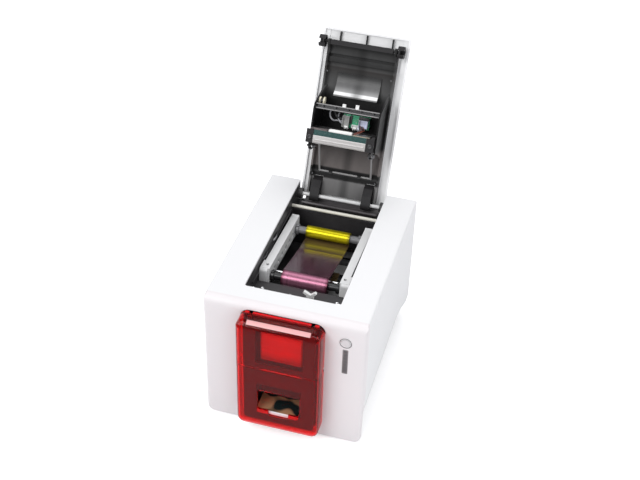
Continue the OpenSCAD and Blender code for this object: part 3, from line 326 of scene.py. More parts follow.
def lid_tones_and_painted_light(name, marks, rough, specular):
    """Dark moulding whose tone changes along the lid, partly its own tone and partly painted shade and
    highlight, with a darker streak up its middle that is a painted reflection.
    """
    material, tree, shader, coords = new_material(name)
    low, high = marks[0][0], marks[-1][0]
    colours = [((at - low) / (high - low), (tone * (1 + warm), tone, tone * (1 - warm * 0.3)))
               for at, tone, warm in marks]
    # the tones along the lid, with painted shade and highlights among them
    tone = stops(tree, along_lid(tree, coords, low, high), colours)
    # darker towards the lid's middle: a painted reflection
    off_reflection = calc(tree, "ABSOLUTE", calc(tree, "SUBTRACT", axis_value(tree, coords, "X"), REFLECTION_STREAK_X))
    light = calc(tree, "MULTIPLY", spread(tree, step_between(tree, off_reflection, *REFLECTION_STREAK_HALF), 0.55, 1),
                 spread(tree, noise(tree, coords, scale=45, detail=4, stretch=(1, 0.3, 0.3)), 0.6, 1.3))
    paint(tree, shader, mix_colour(tree, light, REFLECTION_STREAK_BLACK, tone))
    roughen(tree, shader, noise(tree, coords, scale=70, detail=3), rough - 0.06, rough + 0.08)
    shader.inputs["Specular IOR Level"].default_value = specular
    bump(tree, shader, noise(tree, coords, scale=1500, detail=1), 0.12, GRAIN_DEPTH)
    return material


def board_finish():
    """Green mask with paler tracks and bare pads."""
    material, tree, shader, coords = new_material("board mask")
    tracks = tree.nodes.new("ShaderNodeTexBrick")
    tracks.inputs["Scale"].default_value = 260
    tracks.inputs["Mortar Size"].default_value = 0.03
    tracks.inputs["Color1"].default_value = (0.006, 0.20, 0.09, 1)
    tracks.inputs["Color2"].default_value = (0.012, 0.28, 0.13, 1)
    tracks.inputs["Mortar"].default_value = (0.05, 0.42, 0.22, 1)
    tree.links.new(coords.outputs["Object"], tracks.inputs["Vector"])
    pads = step_between(tree, noise(tree, coords, scale=420, detail=0), 0.72, 0.76)
    paint(tree, shader, mix_colour(tree, pads, tracks.outputs["Color"], (0.6, 0.58, 0.5)))
    shader.inputs["Roughness"].default_value = 0.3
    bump(tree, shader, tracks.outputs["Fac"], 0.2, LINE_DEPTH)
    return material


STRIP_EDGE = (89.85, 89.95)                  # where the ceramic turns to circuit strip, along the lid


def head_finish():
    """Pale glazed ceramic below, and the dark teal of the circuit strip along its upper side."""
    material, tree, shader, coords = new_material("head glaze")
    on_strip = along_lid(tree, coords, *STRIP_EDGE)
    streak = noise(tree, coords, scale=300, detail=2, stretch=(0.05, 1, 1))
    pale = two_tone(tree, streak, (0.40, 0.385, 0.375), (0.52, 0.5, 0.49))
    teal = two_tone(tree, noise(tree, coords, scale=500, detail=2), (0.008, 0.045, 0.042), (0.018, 0.075, 0.07))
    paint(tree, shader, mix_colour(tree, on_strip, pale, teal))
    shader.inputs["Roughness"].default_value = 0.2
    shader.inputs["Coat Weight"].default_value = 0.5
    bump(tree, shader, streak, 0.1, LINE_DEPTH)
    return material


SOCKET_LEFT, SOCKET_RIGHT = -0.012, 0.024
SOCKET_TONES = (
    (0, (0.3, 0.3, 0.29)), (0.3, (0.34, 0.34, 0.33)), (0.34, (0.7, 0.7, 0.7)),
    (0.6, (0.7, 0.7, 0.7)), (0.62, (0.3, 0.32, 0.4)), (0.8, (0.6, 0.64, 0.8)))


def socket_finish():
    """The board's sockets: grey at the left, white in the middle and bluish at the right."""
    material, tree, shader, coords = new_material("socket plastic")
    across = step_between(tree, axis_value(tree, coords, "X"), SOCKET_LEFT, SOCKET_RIGHT)
    paint(tree, shader, stops(tree, across, SOCKET_TONES))
    roughen(tree, shader, noise(tree, coords, scale=400, detail=2), 0.25, 0.4)
    bump(tree, shader, noise(tree, coords, scale=2000, detail=1), 0.1, LINE_DEPTH)
    return material


PRINT_CENTRE = (0.008, 0.148, 0)             # moves the swirl's middle onto the card
PRINT_SKIN = (0.0002, 0.0001)                # below the card's top, where the print starts and is full


def card_finish(name, printed):
    """White card edges; a printed card also carries a plain abstract print on its top face."""
    material, tree, shader, coords = new_material(name)
    layers = noise(tree, coords, scale=1300, detail=0, stretch=(0.01, 0.01, 1))
    colour = two_tone(tree, layers, (0.74, 0.75, 0.78), (0.9, 0.9, 0.91), 0.42, 0.58)
    if printed:
        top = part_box("printed_cards")[1][2]
        face_on = step_between(tree, axis_value(tree, coords, "Z"), top - PRINT_SKIN[0], top - PRINT_SKIN[1])
        centre = tree.nodes.new("ShaderNodeMapping")
        centre.inputs["Location"].default_value = PRINT_CENTRE
        tree.links.new(coords.outputs["Object"], centre.inputs["Vector"])
        swirl = tree.nodes.new("ShaderNodeTexWave")
        swirl.wave_type = "RINGS"
        swirl.inputs["Scale"].default_value = 24
        swirl.inputs["Distortion"].default_value = 3.5
        swirl.inputs["Detail"].default_value = 1.5
        tree.links.new(centre.outputs["Vector"], swirl.inputs["Vector"])
        band = step_between(tree, swirl.outputs["Fac"], 0.72, 0.86)
        patch = step_between(tree, noise(tree, coords, scale=30, detail=1), 0.42, 0.5)
        art = mix_colour(tree, calc(tree, "MULTIPLY", band, patch), (0.012, 0.02, 0.02), (0.42, 0.24, 0.13))
        colour = mix_colour(tree, face_on, colour, art)
    paint(tree, shader, colour)
    shader.inputs["Roughness"].default_value = 0.18
    shader.inputs["Coat Weight"].default_value = 0.4
    return material


def light_bar_finish():
    """Smoked diffuser with a soft fade down its length."""
    material, tree, shader, coords = new_material("light bar")
    low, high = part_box("led_bar")
    fade = step_between(tree, axis_value(tree, coords, "Z"), low[2], high[2])
    paint(tree, shader, two_tone(tree, fade, (0.13, 0.11, 0.115), (0.2, 0.18, 0.185), 0.1, 1))
    shader.inputs["Roughness"].default_value = 0.25
    shader.inputs["Coat Weight"].default_value = 0.6
    bump(tree, shader, noise(tree, coords, scale=900, detail=1), 0.05, LINE_DEPTH)
    return material


NO_LOW_GREY = -1              # a low edge far below the piece, so that nothing of it is greyed

white_casing = casing_finish("casing plastic", (0.775, 0.775, 0.78), 0.5, 0.04)
white_front = casing_finish("front panel plastic", (0.745, 0.71, 0.72), 0.42, 0.0)
white_lid = casing_finish("lid plastic", (0.85, 0.85, 0.85), 0.48, NO_LOW_GREY)
rear_coat = moulded("powder coat", (0.5, 0.5, 0.51), 0.55, grain=1200, relief=0.3)
bay_black = moulded("bay plastic", (0.032, 0.03, 0.032), 0.42, vary=0.12)
base_black = moulded("base plastic", (0.05, 0.048, 0.05), 0.5, vary=0.1)
liner_grey = moulded("lid liner plastic", (0.085, 0.078, 0.081), 0.36, grain=1500, vary=0.18)
black = moulded("black plastic", (0.012, 0.012, 0.013), 0.34, vary=0.15)
dull_black = moulded("dull black plastic", (0.02, 0.019, 0.02), 0.55, vary=0.15, specular=0.22)
soft_black = moulded("satin black plastic", (0.03, 0.03, 0.032), 0.3, vary=0.15)
rail_grey = moulded("rail plastic", (0.72, 0.72, 0.72), 0.4, vary=0.06)
core_grey = moulded("core plastic", (0.17, 0.17, 0.175), 0.34, vary=0.1)
white_plastic = moulded("white plastic", (0.82, 0.82, 0.81), 0.28)
satin_white = moulded("satin white coat", (0.75, 0.75, 0.75), 0.35, vary=0.03)
cream = moulded("cream bar plastic", (0.74, 0.72, 0.64), 0.3)
ivory = moulded("gear plastic", (0.75, 0.7, 0.55), 0.38)
rubber = moulded("rubber", (0.02, 0.02, 0.02), 0.75, grain=900, relief=0.3)
roller_rubber = moulded("roller rubber", (0.05, 0.05, 0.055), 0.5, grain=1600, relief=0.2, vary=0.1)
scale_grey = moulded("scale plastic", (0.30, 0.29, 0.295), 0.3, vary=0.15)
cap_grey = moulded("button cap", (0.62, 0.59, 0.6), 0.35, vary=0.03)
satin_grey = moulded("satin grey coat", (0.27, 0.265, 0.265), 0.35, vary=0.2)
bracket_brown = moulded("bracket coat", (0.12, 0.10, 0.10), 0.4)
tan_strip = moulded("tan strip", (0.3, 0.26, 0.2), 0.4)
chip_black = moulded("chip resin", (0.015, 0.015, 0.016), 0.4)
segment_grey = moulded("light segment", (0.07, 0.06, 0.064), 0.3)
# the grip strip's pale pink is a painted reflection along the top of the cover
grip_reflection_pink = moulded("pink grip painted reflection", (0.72, 0.36, 0.36), 0.35, vary=0.03)
wire_brown = moulded("brown wire sleeve", (0.2, 0.05, 0.03), 0.4)
wire_black = moulded("black wire sleeve", (0.02, 0.02, 0.022), 0.4)
wire_grey = moulded("grey wire sleeve", (0.32, 0.32, 0.34), 0.4)
plug_blue = moulded("blue white plug", (0.62, 0.64, 0.72), 0.3)
dark_steel = brushed("blackened steel", (0.12, 0.12, 0.125), 0.35)
sheet_steel = brushed("steel sheet", (0.62, 0.62, 0.63), 0.35)
rod_steel = brushed("steel rod", (0.72, 0.72, 0.73), 0.18)
spring_steel = brushed("spring steel", (0.55, 0.55, 0.57), 0.25, stretch=(1, 1, 1))
brass = brushed("brass", (0.7, 0.5, 0.2), 0.3)
head_metal = brushed("head aluminium", (0.52, 0.51, 0.51), 0.38)
red_clear = tinted("red cover", (0.86, 0.008, 0.011), rough=0.08, clear=0.97)
red_lip = tinted("red lip", (0.6, 0.008, 0.012), rough=0.2, clear=0.0)
yellow_film = film("yellow film", (0.072, 0.047, 0.02), stretch=(0.25, 1, 1))
magenta_film = film("magenta film", (0.05, 0.016, 0.028), stretch=(1, 0.3, 0.3))
yellow_roll = wound("yellow roll", (0.5, 0.43, 0.0), (0.2, 0.17, 0.01))
magenta_roll = wound("magenta roll", (0.34, 0.13, 0.2), (0.08, 0.015, 0.03))
board_green = board_finish()


def dress(material, *names):
    """Gives CAD nodes a finish."""
    for name in names:
        mesh = nodes[name].data
        mesh.materials.clear()
        mesh.materials.append(material)


dress(white_casing, "casing_shell")
dress(white_front, "front_panel")
dress(white_lid, "lid_shell")
dress(rear_coat, "rear_panel")
dress(bay_black, "bay_liner", "rear_trough", "hopper_tray")
dress(base_black, "base_tray")
dress(liner_grey, "hinge_barrel")
# the lid's lining and the spool shield carry painted shade, a painted highlight and a painted reflection
dress(lid_tones_and_painted_light("lid lining with painted shade", LINING_TONES_AND_SHADE, rough=0.42, specular=0.12), "lid_liner")
dress(lid_tones_and_painted_light("shield plastic with painted light", SHIELD_HIGHLIGHT_AND_SHADE, rough=0.3, specular=0.3), "spool_shield")
dress(soft_black, "cross_rail")
dress(dull_black, "latch_bar", "hinge_arms", "head_carrier")
dress(black, "feeder_frame", "power_inlet", "network_socket", "takeup_core")
dress(rail_grey, "cassette_frame")
dress(core_grey, "supply_core")
dress(white_plastic, "gauge_lever")
dress(cap_grey, "button_cap")
dress(socket_finish(), "head_connectors")
dress(cream, "cross_bar")
dress(card_finish("card edges", printed=False), "card_stack")
dress(card_finish("printed card", printed=True), "printed_cards")
dress(ivory, "platen_gear", "shaft_bushes")
dress(rubber, "rubber_feet", "drive_belt")
dress(roller_rubber, "platen_roller", "cleaning_roller", "feed_roller", "front_transport_roller",
      "rear_transport_roller")
dress(board_green, "main_board", "head_board")
dress(head_finish(), "thermal_head")
dress(scale_grey, "gauge_scale")
dress(light_bar_finish(), "led_bar")
dress(sheet_steel, "chassis_frame", "card_plate", "drive_motor")
dress(rod_steel, "latch_pins", "platen_shaft", "cassette_ties", "usb_socket")
dress(satin_white, "hinge_shaft", "button_ring")
dress(satin_grey, "window_frame")
dress(brass, "motor_pinion")
dress(head_metal, "heat_sink")
dress(yellow_roll, "supply_roll")
dress(yellow_film, "yellow_panel")
dress(magenta_roll, "takeup_roll")
dress(magenta_film, "magenta_panel")
dress(red_clear, "hopper_cover", "feeder_cover")
# the grip strip's pale pink is a painted reflection
dress(grip_reflection_pink, "cover_grip")

# --------------------------------------------------------------- shaping

TINY = 1e-6
FACING = 0.9             # the part of a face's normal along an axis, for it to look that way
EDGE_ANGLE = 35          # degrees from which an edge is rounded, or stays sharp in the shading
WIRE_ANGLE = 60


def clear_choice():
    """Leaves no object selected, in object mode."""
    if bpy.context.object and bpy.context.object.mode != "OBJECT":
        bpy.ops.object.mode_set(mode="OBJECT")
    bpy.ops.object.select_all(action="DESELECT")


def pick(piece):
    """Leaves one piece selected and active, in object mode."""
    clear_choice()
    piece.select_set(True)
    bpy.context.view_layer.objects.active = piece


def open_mesh(kind="FACE"):
    """Opens the active piece in edit mode, to work on its faces, edges or points."""
    bpy.ops.object.mode_set(mode="EDIT")
    bpy.ops.mesh.select_mode(type=kind)


def looks(normal, axis, sign=1):
    """Whether a face looks along an axis, or against it for a sign of -1."""
    return normal["XYZ".index(axis)] * sign > FACING


def runs(direction, axis):
    """Whether an edge runs along an axis."""
    return sum(abs(step) for step, name in zip(direction, "XYZ") if name != axis) < TINY


def choose(test, kind="FACE"):
    """In edit mode, selects faces by their middle and normal, or edges by middle and direction."""
    bpy.ops.mesh.select_mode(type=kind)
    bpy.ops.mesh.select_all(action="DESELECT")
    mesh = bmesh.from_edit_mesh(bpy.context.object.data)
    if kind == "FACE":
        for face in mesh.faces:
            face.select_set(test(face.calc_center_median(), face.normal))
    else:
        for edge in mesh.edges:
            start, end = (point.co for point in edge.verts)
            edge.select_set(test((start + end) / 2, end - start))
    mesh.select_flush_mode()
    bmesh.update_edit_mesh(bpy.context.object.data)


def block(name, low, high):
    """A block between two corners in millimetres, left in edit mode with its middle as origin."""
    clear_choice()
    middle = [(a + b) / 2 * MM for a, b in zip(low, high)]
    bpy.ops.mesh.primitive_cube_add(size=1, location=middle)
    bpy.context.object.name = name
    open_mesh()
    bpy.ops.mesh.select_all(action="SELECT")
    bpy.ops.transform.resize(value=[(b - a) * MM for a, b in zip(low, high)])
    return bpy.context.object


def drum(name, middle, radius, length, axis, sides):
    """A cylinder in millimetres round a middle, left in edit mode.

    Until it settles its mesh has its own axes, with Z from end to end.
    """
    clear_choice()
    turned = {"X": (0, math.pi / 2, 0), "Y": (math.pi / 2, 0, 0), "Z": (0, 0, 0)}[axis]
    bpy.ops.mesh.primitive_cylinder_add(vertices=sides, radius=radius * MM, depth=length * MM,
                                        location=[c * MM for c in middle], rotation=turned)
    bpy.context.object.name = name
    open_mesh()
    return bpy.context.object


def rim(width, rise=0.0):
    """Insets the chosen faces by a rim and lifts them, both in millimetres."""
    bpy.ops.mesh.inset(thickness=width * MM, depth=rise * MM)


def raise_up(height, inset):
    """Insets the chosen faces and raises them on a step, both in millimetres."""
    rim(inset)
    bpy.ops.mesh.extrude_region_shrink_fatten(TRANSFORM_OT_shrink_fatten={"value": height * MM})


def sink(depth, inset):
    """Insets the chosen faces and sinks them into a pocket, both in millimetres."""
    raise_up(-depth, inset)


def finish_with(piece, kind, **settings):
    """Adds a modifier to the picked piece and applies it."""
    modifier = piece.modifiers.new(kind.lower(), kind)
    for name, value in settings.items():
        setattr(modifier, name, value)
    bpy.ops.object.modifier_apply(modifier=modifier.name)


def settle(piece, material, body, place=None, edge=0.0, smooth=EDGE_ANGLE):
    """Rounds a piece's edges, puts it in its place and hands it its finish and body.

    A piece given no body here is left without one.
    """
    pick(piece)
    if edge:
        finish_with(piece, "BEVEL", width=edge * MM, segments=2, limit_method="ANGLE",
                    angle_limit=math.radians(EDGE_ANGLE))
    if place is not None:
        piece.matrix_world = place @ piece.matrix_world
    bpy.ops.object.transform_apply(location=True, rotation=True, scale=True)
    bpy.ops.object.shade_smooth_by_angle(angle=math.radians(smooth))
    piece.data.materials.clear()
    piece.data.materials.append(material)
    if body:
        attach(piece, body)
    return piece


def wire(name, points, radius, material, body, place, roundness=3):
    """A smooth wire of the given radius through points, all in millimetres."""
    curve = bpy.data.curves.new(name, "CURVE")
    curve.dimensions = "3D"
    curve.bevel_depth = radius * MM
    curve.bevel_resolution = roundness
    curve.resolution_u = 6
    curve.use_fill_caps = True
    line = curve.splines.new("NURBS")
    line.points.add(len(points) - 1)
    for knot, point in zip(line.points, points):
        knot.co = (*(c * MM for c in point), 1)
    line.order_u = 4
    line.use_endpoint_u = True
    piece = bpy.data.objects.new(name, curve)
    bpy.context.collection.objects.link(piece)
    pick(piece)
    bpy.ops.object.convert(target="MESH")
    return settle(bpy.context.object, material, body, place, smooth=WIRE_ANGLE)


def coil_points(middle, radius, turns, length, per_turn=12):
    """The line of a coil spring that stands inward of the lid, in millimetres."""
    x, along, inward = middle
    steps = turns * per_turn
    points = []
    for step in range(steps + 1):
        part = step / steps
        angle = part * turns * 2 * math.pi
        points.append((x + radius * math.cos(angle), along + radius * math.sin(angle),
                       inward + (part - 0.5) * length))
    return points


def screw_head(name, middle, radius, height, axis, material, body, slot, place=None):
    """A pan head screw, with a round drive sunk in the face that looks along its axis."""
    piece = drum(name, middle, radius, height, axis, sides=24)
    choose(lambda c, n: looks(n, axis))
    sink(height * 0.5, radius * 0.5)
    return settle(piece, material, body, place, edge=min(radius, height) * 0.22)


# radius and height of the screws' heads, and radius of the wires, in millimetres
HEAD_SCREW, LID_SCREW, SHELF_SCREW, REAR_SCREW = (2.9, 1.3), (1.1, 0.8), (2.4, 1.2), (3.1, 1.5)
HEAD_LEAD, WELL_LEAD, PLUG_WIRE, SPRING_WIRE = 0.55, 1.1, 0.45, 0.42

# ------------------------------------------------------ print head's pieces

# pale connector along the top of the print head, sunk along its middle
plug = block("head_plug", (-18.5, HEAD_TOP - FINE_SEAT, 50.5), (12.5, HEAD_TOP + 2.6, 58.5))
choose(lambda c, n: looks(n, "Y"))
raise_up(height=0.5, inset=0.7)
sink(depth=1.2, inset=0.5)
settle(plug, white_plastic, "head", LID, edge=0.25)

# a row of contact teeth in the connector
TEETH = 18
TOOTH_PITCH = 1.55
tooth = block("head_contacts", (-16.4, HEAD_TOP + 2.0, 54.9), (-15.9, HEAD_TOP + 3.0, 57.6))
pick(tooth)
finish_with(tooth, "ARRAY", use_relative_offset=False, use_constant_offset=True,
            constant_offset_displace=(TOOTH_PITCH * MM, 0, 0), count=TEETH)
settle(tooth, brass, "head", LID)

# dark end plates of the print head, and their screws
PLATE_THICK = 0.9
for name, x0, x1 in (("left", -46.8, -37.3), ("right", 33.3, 43.8)):
    plate = block(f"head_plate_{name}", (x0, 79.2, HEAD_END - SEAT),
                  (x1, HEAD_TOP + 0.3, HEAD_END + PLATE_THICK))
    choose(lambda c, n: looks(n, "Z"))
    rim(0.8, -0.25)
    settle(plate, dull_black, "head", LID, edge=0.3)
for name, x in (("left", PRINT_X - 40.4), ("right", PRINT_X + 40.4)):
    screw_head(f"head_screw_{name}", (x, 87, HEAD_END + 1.35), *HEAD_SCREW, "Z", soft_black,
               "head", "black_plastic", LID)

# coated bracket and tan strip beside the connector
bracket = block("head_bracket", (-43.5, HEAD_TOP - SEAT, 47), (-21.5, HEAD_TOP + 1.1, 56))
choose(lambda c, n: looks(n, "Y"))
sink(depth=0.4, inset=1.4)
settle(bracket, bracket_brown, "head", LID, edge=0.2)
flex = block("head_flex", (14, HEAD_TOP - SEAT, 55.5), (36.5, HEAD_TOP + 0.5, 60.6))
choose(lambda c, n: looks(n, "Y"))
raise_up(height=0.3, inset=0.4)
settle(flex, tan_strip, "head", LID, edge=0.1)

# leads from the connector to the board, over the well
HEAD_LEADS = ((13.5, 0, wire_black), (15.2, 2, wire_brown), (16.9, 1, wire_black), (18.6, 3, wire_brown))
for number, (x, rise, sleeve) in enumerate(HEAD_LEADS, 1):
    lead = wire(f"head_lead_{number}",
                [(x - 4, HEAD_TOP + 1.2, 55), (x + 1, HEAD_TOP + 2.0, 54 - rise),
                 (x + 5, HEAD_TOP + 4 + rise, 47), (x + 6, HEAD_TOP + 3 + rise, 36),
                 (x + 2, HEAD_TOP + 4 + rise, 24), (x - 1, HEAD_TOP + 6, 15), (x - 1.5, HEAD_TOP + 8, 12)],
                HEAD_LEAD, sleeve, None, LID)
    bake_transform(lead)

# ------------------------------------------------------------ lid's pieces

# sleeves that loop from the left of the well to the board
WELL_LEADS = ((-34, 112, 15, wire_grey, -11.5, 108), (-28, 116, 13, wire_black, -10.5, 110),
              (-22, 110, 15.5, wire_grey, -9.5, 112))
for number, (x, along, reach, sleeve, end_x, end_along) in enumerate(WELL_LEADS, 1):
    wire(f"well_lead_{number}",
         [(x, along + 6, LID_FLOOR + 1), (x + 1, along + 4, 0), (x + 3, along + 1, reach - 6),
          (x + 7, along - 3, reach), (x + 12, along - 6, reach - 5), (x + 10, along - 4, 9),
          (end_x, end_along, BOARD_FACE + 3)],
         WELL_LEAD, sleeve, "lid", LID)

# small plugs beside the board's sockets, each with its pair of leads
PLUGS = ((-8.2, 98.6, 8.5, white_plastic), (3.4, 98.6, 8.5, white_plastic), (9.8, 98.6, 9.5, plug_blue))
for number, (x, along, inward, finish) in enumerate(PLUGS, 1):
    plug = block(f"lead_plug_{number}", (x, along, inward), (x + 5.2, along + 4.4, inward + 5.5))
    choose(lambda c, n: looks(n, "Z"))
    raise_up(height=1.1, inset=0.9)
    settle(plug, finish, "lid", LID, edge=0.3)
    for lead in range(2):
        near, far = x + 1.5 + 2.2 * lead, x + 3.5 + 2.4 * lead
        wire(f"lead_plug_{number}_wire_{lead + 1}",
             [(near, along + 2.2, inward + 6), (near, along + 2.0, inward + 7),
              (near + 1, along - 0.4, inward + 6.5), (far, along - 0.6, inward + 2),
              (far, along - 0.5, LID_FLOOR + 4), (far + 0.5, along + 1, LID_FLOOR)],
             PLUG_WIRE, wire_black, "lid", LID)

# two small sensor blocks seated on the toothed rail
for number, (x, top) in enumerate(((-9.4, 133.2), (8.2, 134.6)), 1):
    sensor = block(f"rail_sensor_{number}", (x, 128.95, 34.5), (x + 4.4, top, 38.4))
    choose(lambda c, n: looks(n, "Z"))
    sink(depth=0.9, inset=1.0)
    settle(sensor, white_plastic, "lid", LID, edge=0.3)

# pale idler spool on the left side plate of the well: two flanges and a hub, each with a
# shallow patch sunk in its rim
IDLER = ((-44.55, -42.6, 5.4, ivory), (-42.6, -38.8, 3.2, soft_black), (-38.8, -37.0, 5.4, ivory))
for number, (x0, x1, radius, finish) in enumerate(IDLER, 1):
    idler = drum(f"well_idler_{number}", ((x0 + x1) / 2, 131.5, 22), radius, x1 - x0, "X", sides=40)
    choose(lambda c, n: looks(n, "X"))
    sink(depth=0.5, inset=1.2)
    settle(idler, finish, "lid", LID, edge=0.2)

# return springs between the head's cheeks and the lid
for name, x in (("right", 39.2), ("left", -42.2)):
    spring = wire(f"head_spring_{name}", coil_points((x, 71.5, 41), radius=3.0, turns=9, length=15),
                  SPRING_WIRE, dark_steel, None, LID, roundness=2)
    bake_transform(spring)

# screws of the lid's lining, three up each side, and one of the board
LID_SCREWS = [(x, along, LINING_FACE) for along in (30, 100, 170) for x in (-45.5, 42.5)]
for number, (x, along, inward) in enumerate(LID_SCREWS + [(-10.2, 116.8, BOARD_FACE)], 1):
    screw_head(f"lid_screw_{number}", (x, along, inward + 0.4), *LID_SCREW, "Z", dark_steel,
               "lid", "steel", LID)

# chips on the board, as (left, low, right, high, height)
CHIPS = ((9.8, 113.3, 23.6, 117.6, 2.2), (-2.6, 106.2, 0.4, 117.2, 1.6), (9.6, 106.5, 10.4, 112.9, 3))
for number, (x0, along0, x1, along1, height) in enumerate(CHIPS, 1):
    chip = block(f"board_chip_{number}", (x0, along0, BOARD_FACE - FINE_SEAT),
                 (x1, along1, BOARD_FACE + height))
    choose(lambda c, n: looks(n, "Z"))
    rim(0.25, 0.1)
    settle(chip, chip_black, "lid", LID, edge=0.12)

# light grey rods along the toothed rail's edges, a painted highlight where the edges catch the light, with a
# narrow flat on two sides
for number, along in enumerate((123.2, 128.8), 1):
    highlight_rod = drum(f"rail_edge_highlight_{number}", (PRINT_X, along, 37.7), 0.75, 85.6, "X", sides=16)
    choose(lambda c, n: abs(n.x) > FACING)
    rim(0.2, -0.15)
    settle(highlight_rod, satin_grey, "lid", LID)

# ----------------------------------------------------------- bay's pieces

# leaf springs on the bay's side walls, which steady the ribbon cassette
BAY_HALF = 61.3          # from the bay's middle to a side wall
LEAF_THICK = 0.5
LEAF_HALF = 9
LEAF_BOW = 1.5
for side, name in ((-1, "left"), (1, "right")):
    wall, face = side * BAY_HALF, side * (BAY_HALF - LEAF_THICK)
    for number, y in enumerate((-20, 22), 1):
        leaf = block(f"bay_spring_{name}_{number}", (min(wall, face), y - LEAF_HALF, 174.5),
                     (max(wall, face), y + LEAF_HALF, 178.5))
        bpy.ops.mesh.select_all(action="SELECT")
        bpy.ops.mesh.subdivide(number_cuts=7)
        mesh = bmesh.from_edit_mesh(leaf.data)
        for point in mesh.verts:
            bow = max(0.0, 1 - (point.co.y / (LEAF_HALF * MM)) ** 2)
            point.co.x -= side * LEAF_BOW * MM * bow
        bmesh.update_edit_mesh(leaf.data)
        settle(leaf, spring_steel, "casing")

# screws of the bay's front shelf
for number, x in enumerate((-50, 47), 1):
    screw_head(f"shelf_screw_{number}", (x, -66, 161.5), *SHELF_SCREW, "Z", rod_steel, "casing", "steel")

# a yellow strip beside the magenta panel: a painted patch of the yellow light that falls through the film
strip = block("yellow_light_patch", (23, -16, 147.0), (31.5, 8, 147.6))
choose(lambda c, n: looks(n, "Z"))
rim(1.0, -0.2)
settle(strip, yellow_film, "cassette", edge=0.1)

# --------------------------------------------------------- front's pieces

COVER_LOW, COVER_HIGH = ([c * 1000 for c in corner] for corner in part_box("hopper_cover"))
COVER_WALL = 2.5
COVER_SIDE = 7           # radius of the upright front corners
BOTTOM_NOSE = 19.0       # radius of the lower front edge seen from the side
BOTTOM_CORNER = 17.0     # radius of the lower corners seen from the front
NOSE_LEVELS = (0.5, 1.2, 2.4, 4.2, 6.5, 9.5, 13, 17, 19.2)
TOP_MARGIN = 1.2
WINDOW = ((-26.0, 28.0), (47.0, 79.0))       # across and up
NOTCH = ((-12.0, 14.0), (39.5, 50.0))
OPENING_CORNER = 2.4


def round_loss(radius, height):
    """How far a rounded edge stands back at a height above its lowest point."""
    return radius - math.sqrt(max(0.0, radius ** 2 - (radius - min(height, radius)) ** 2))


def lower_cover():
    """The hopper's clear cover: a thin shell with rounder lower corners, a window and a grip notch."""
    cover = block("hopper_cover_form", COVER_LOW, COVER_HIGH)
    choose(lambda c, d: runs(d, "Z") and c.y < 0, "EDGE")
    bpy.ops.mesh.bevel(offset=COVER_SIDE * MM, segments=6, affect="EDGES")
    wide, deep, tall = (high - low for low, high in zip(COVER_LOW, COVER_HIGH))
    for level in (*NOSE_LEVELS, tall - TOP_MARGIN):
        bpy.ops.mesh.select_all(action="SELECT")
        bpy.ops.mesh.bisect(plane_co=(0, 0, (COVER_LOW[2] + level) * MM), plane_no=(0, 0, 1))
    pick(cover)
    bpy.ops.object.transform_apply(location=True, rotation=True, scale=True)
    open_mesh("VERT")
    mesh = bmesh.from_edit_mesh(cover.data)
    back = COVER_HIGH[1] * MM
    middle = (COVER_LOW[0] + COVER_HIGH[0]) / 2 * MM
    for point in mesh.verts:
        above = point.co.z / MM - COVER_LOW[2]
        point.co.y = back - (back - point.co.y) * (1 - round_loss(BOTTOM_NOSE, above) / deep)
        point.co.x = middle + (point.co.x - middle) * (1 - round_loss(BOTTOM_CORNER, above) / (wide / 2))
    bmesh.update_edit_mesh(cover.data)
    choose(lambda c, n: looks(n, "Y") or (looks(n, "Z") and c.z > (COVER_HIGH[2] - 0.1) * MM))
    bpy.ops.mesh.delete(type="FACE")
    pick(cover)
    finish_with(cover, "SOLIDIFY", thickness=COVER_WALL * MM, offset=-1, use_even_offset=True)
    for (x0, x1), (z0, z1) in (WINDOW, NOTCH):
        cutter = block("cutter", (x0, COVER_LOW[1] - 2, z0), (x1, COVER_LOW[1] + 2 * COVER_WALL, z1))
        choose(lambda c, d: runs(d, "Y"), "EDGE")
        bpy.ops.mesh.bevel(offset=OPENING_CORNER * MM, segments=4, affect="EDGES")
        pick(cover)
        finish_with(cover, "BOOLEAN", operation="DIFFERENCE", solver="EXACT", object=cutter)
        bpy.data.objects.remove(cutter)
    settle(cover, red_clear, "casing", smooth=40)
    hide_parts("hopper_cover")


lower_cover()

# lip along the upper cover's back edge, split where the hinge ears stand
for number, (x0, x1) in enumerate(((-47.5, -42.4), (-37.6, 34.6), (39.4, 44.5)), 1):
    lip = block(f"cover_lip_{number}", (x0, -139.4, 181.6), (x1, -136.35, 184.45))
    choose(lambda c, d: runs(d, "X") and c.z > 0, "EDGE")
    bpy.ops.mesh.bevel(offset=0.4 * MM, segments=2, affect="EDGES")
    settle(lip, red_lip, "feed_lid")

# dark line round the button, in metres
BUTTON_AT = (0.077, -0.1368, 0.165)
clear_choice()
bpy.ops.mesh.primitive_torus_add(major_radius=0.0071, minor_radius=0.00042, major_segments=48,
                                 minor_segments=10, location=BUTTON_AT, rotation=(math.pi / 2, 0, 0))
outline = bpy.context.object
outline.name = "button_outline"
open_mesh()
bpy.ops.mesh.select_all(action="SELECT")
bpy.ops.transform.resize(value=(1, 0.8, 1))
settle(outline, segment_grey, "casing")

# segments on the light bar
SEGMENTS = 7
SEGMENT_GAP = 0.55
END_MARGIN = 1.5
SIDE_MARGIN = 1.2
bar_low, bar_high = ([c * 1000 for c in corner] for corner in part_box("led_bar"))
pitch = (bar_high[2] - bar_low[2] - 2 * END_MARGIN) / SEGMENTS
for number in range(SEGMENTS):
    z = bar_low[2] + END_MARGIN + pitch * number
    pad = block(f"light_segment_{number + 1}",
                (bar_low[0] + SIDE_MARGIN, bar_low[1] - 0.12, z + SEGMENT_GAP / 2),
                (bar_high[0] - SIDE_MARGIN, bar_low[1] + 0.2, z + pitch - SEGMENT_GAP / 2))
    choose(lambda c, n: looks(n, "Y", -1))
    rim(0.3, 0.05)
    settle(pad, segment_grey, "casing", edge=0.05)

# ---------------------------------------------------------- rear's pieces

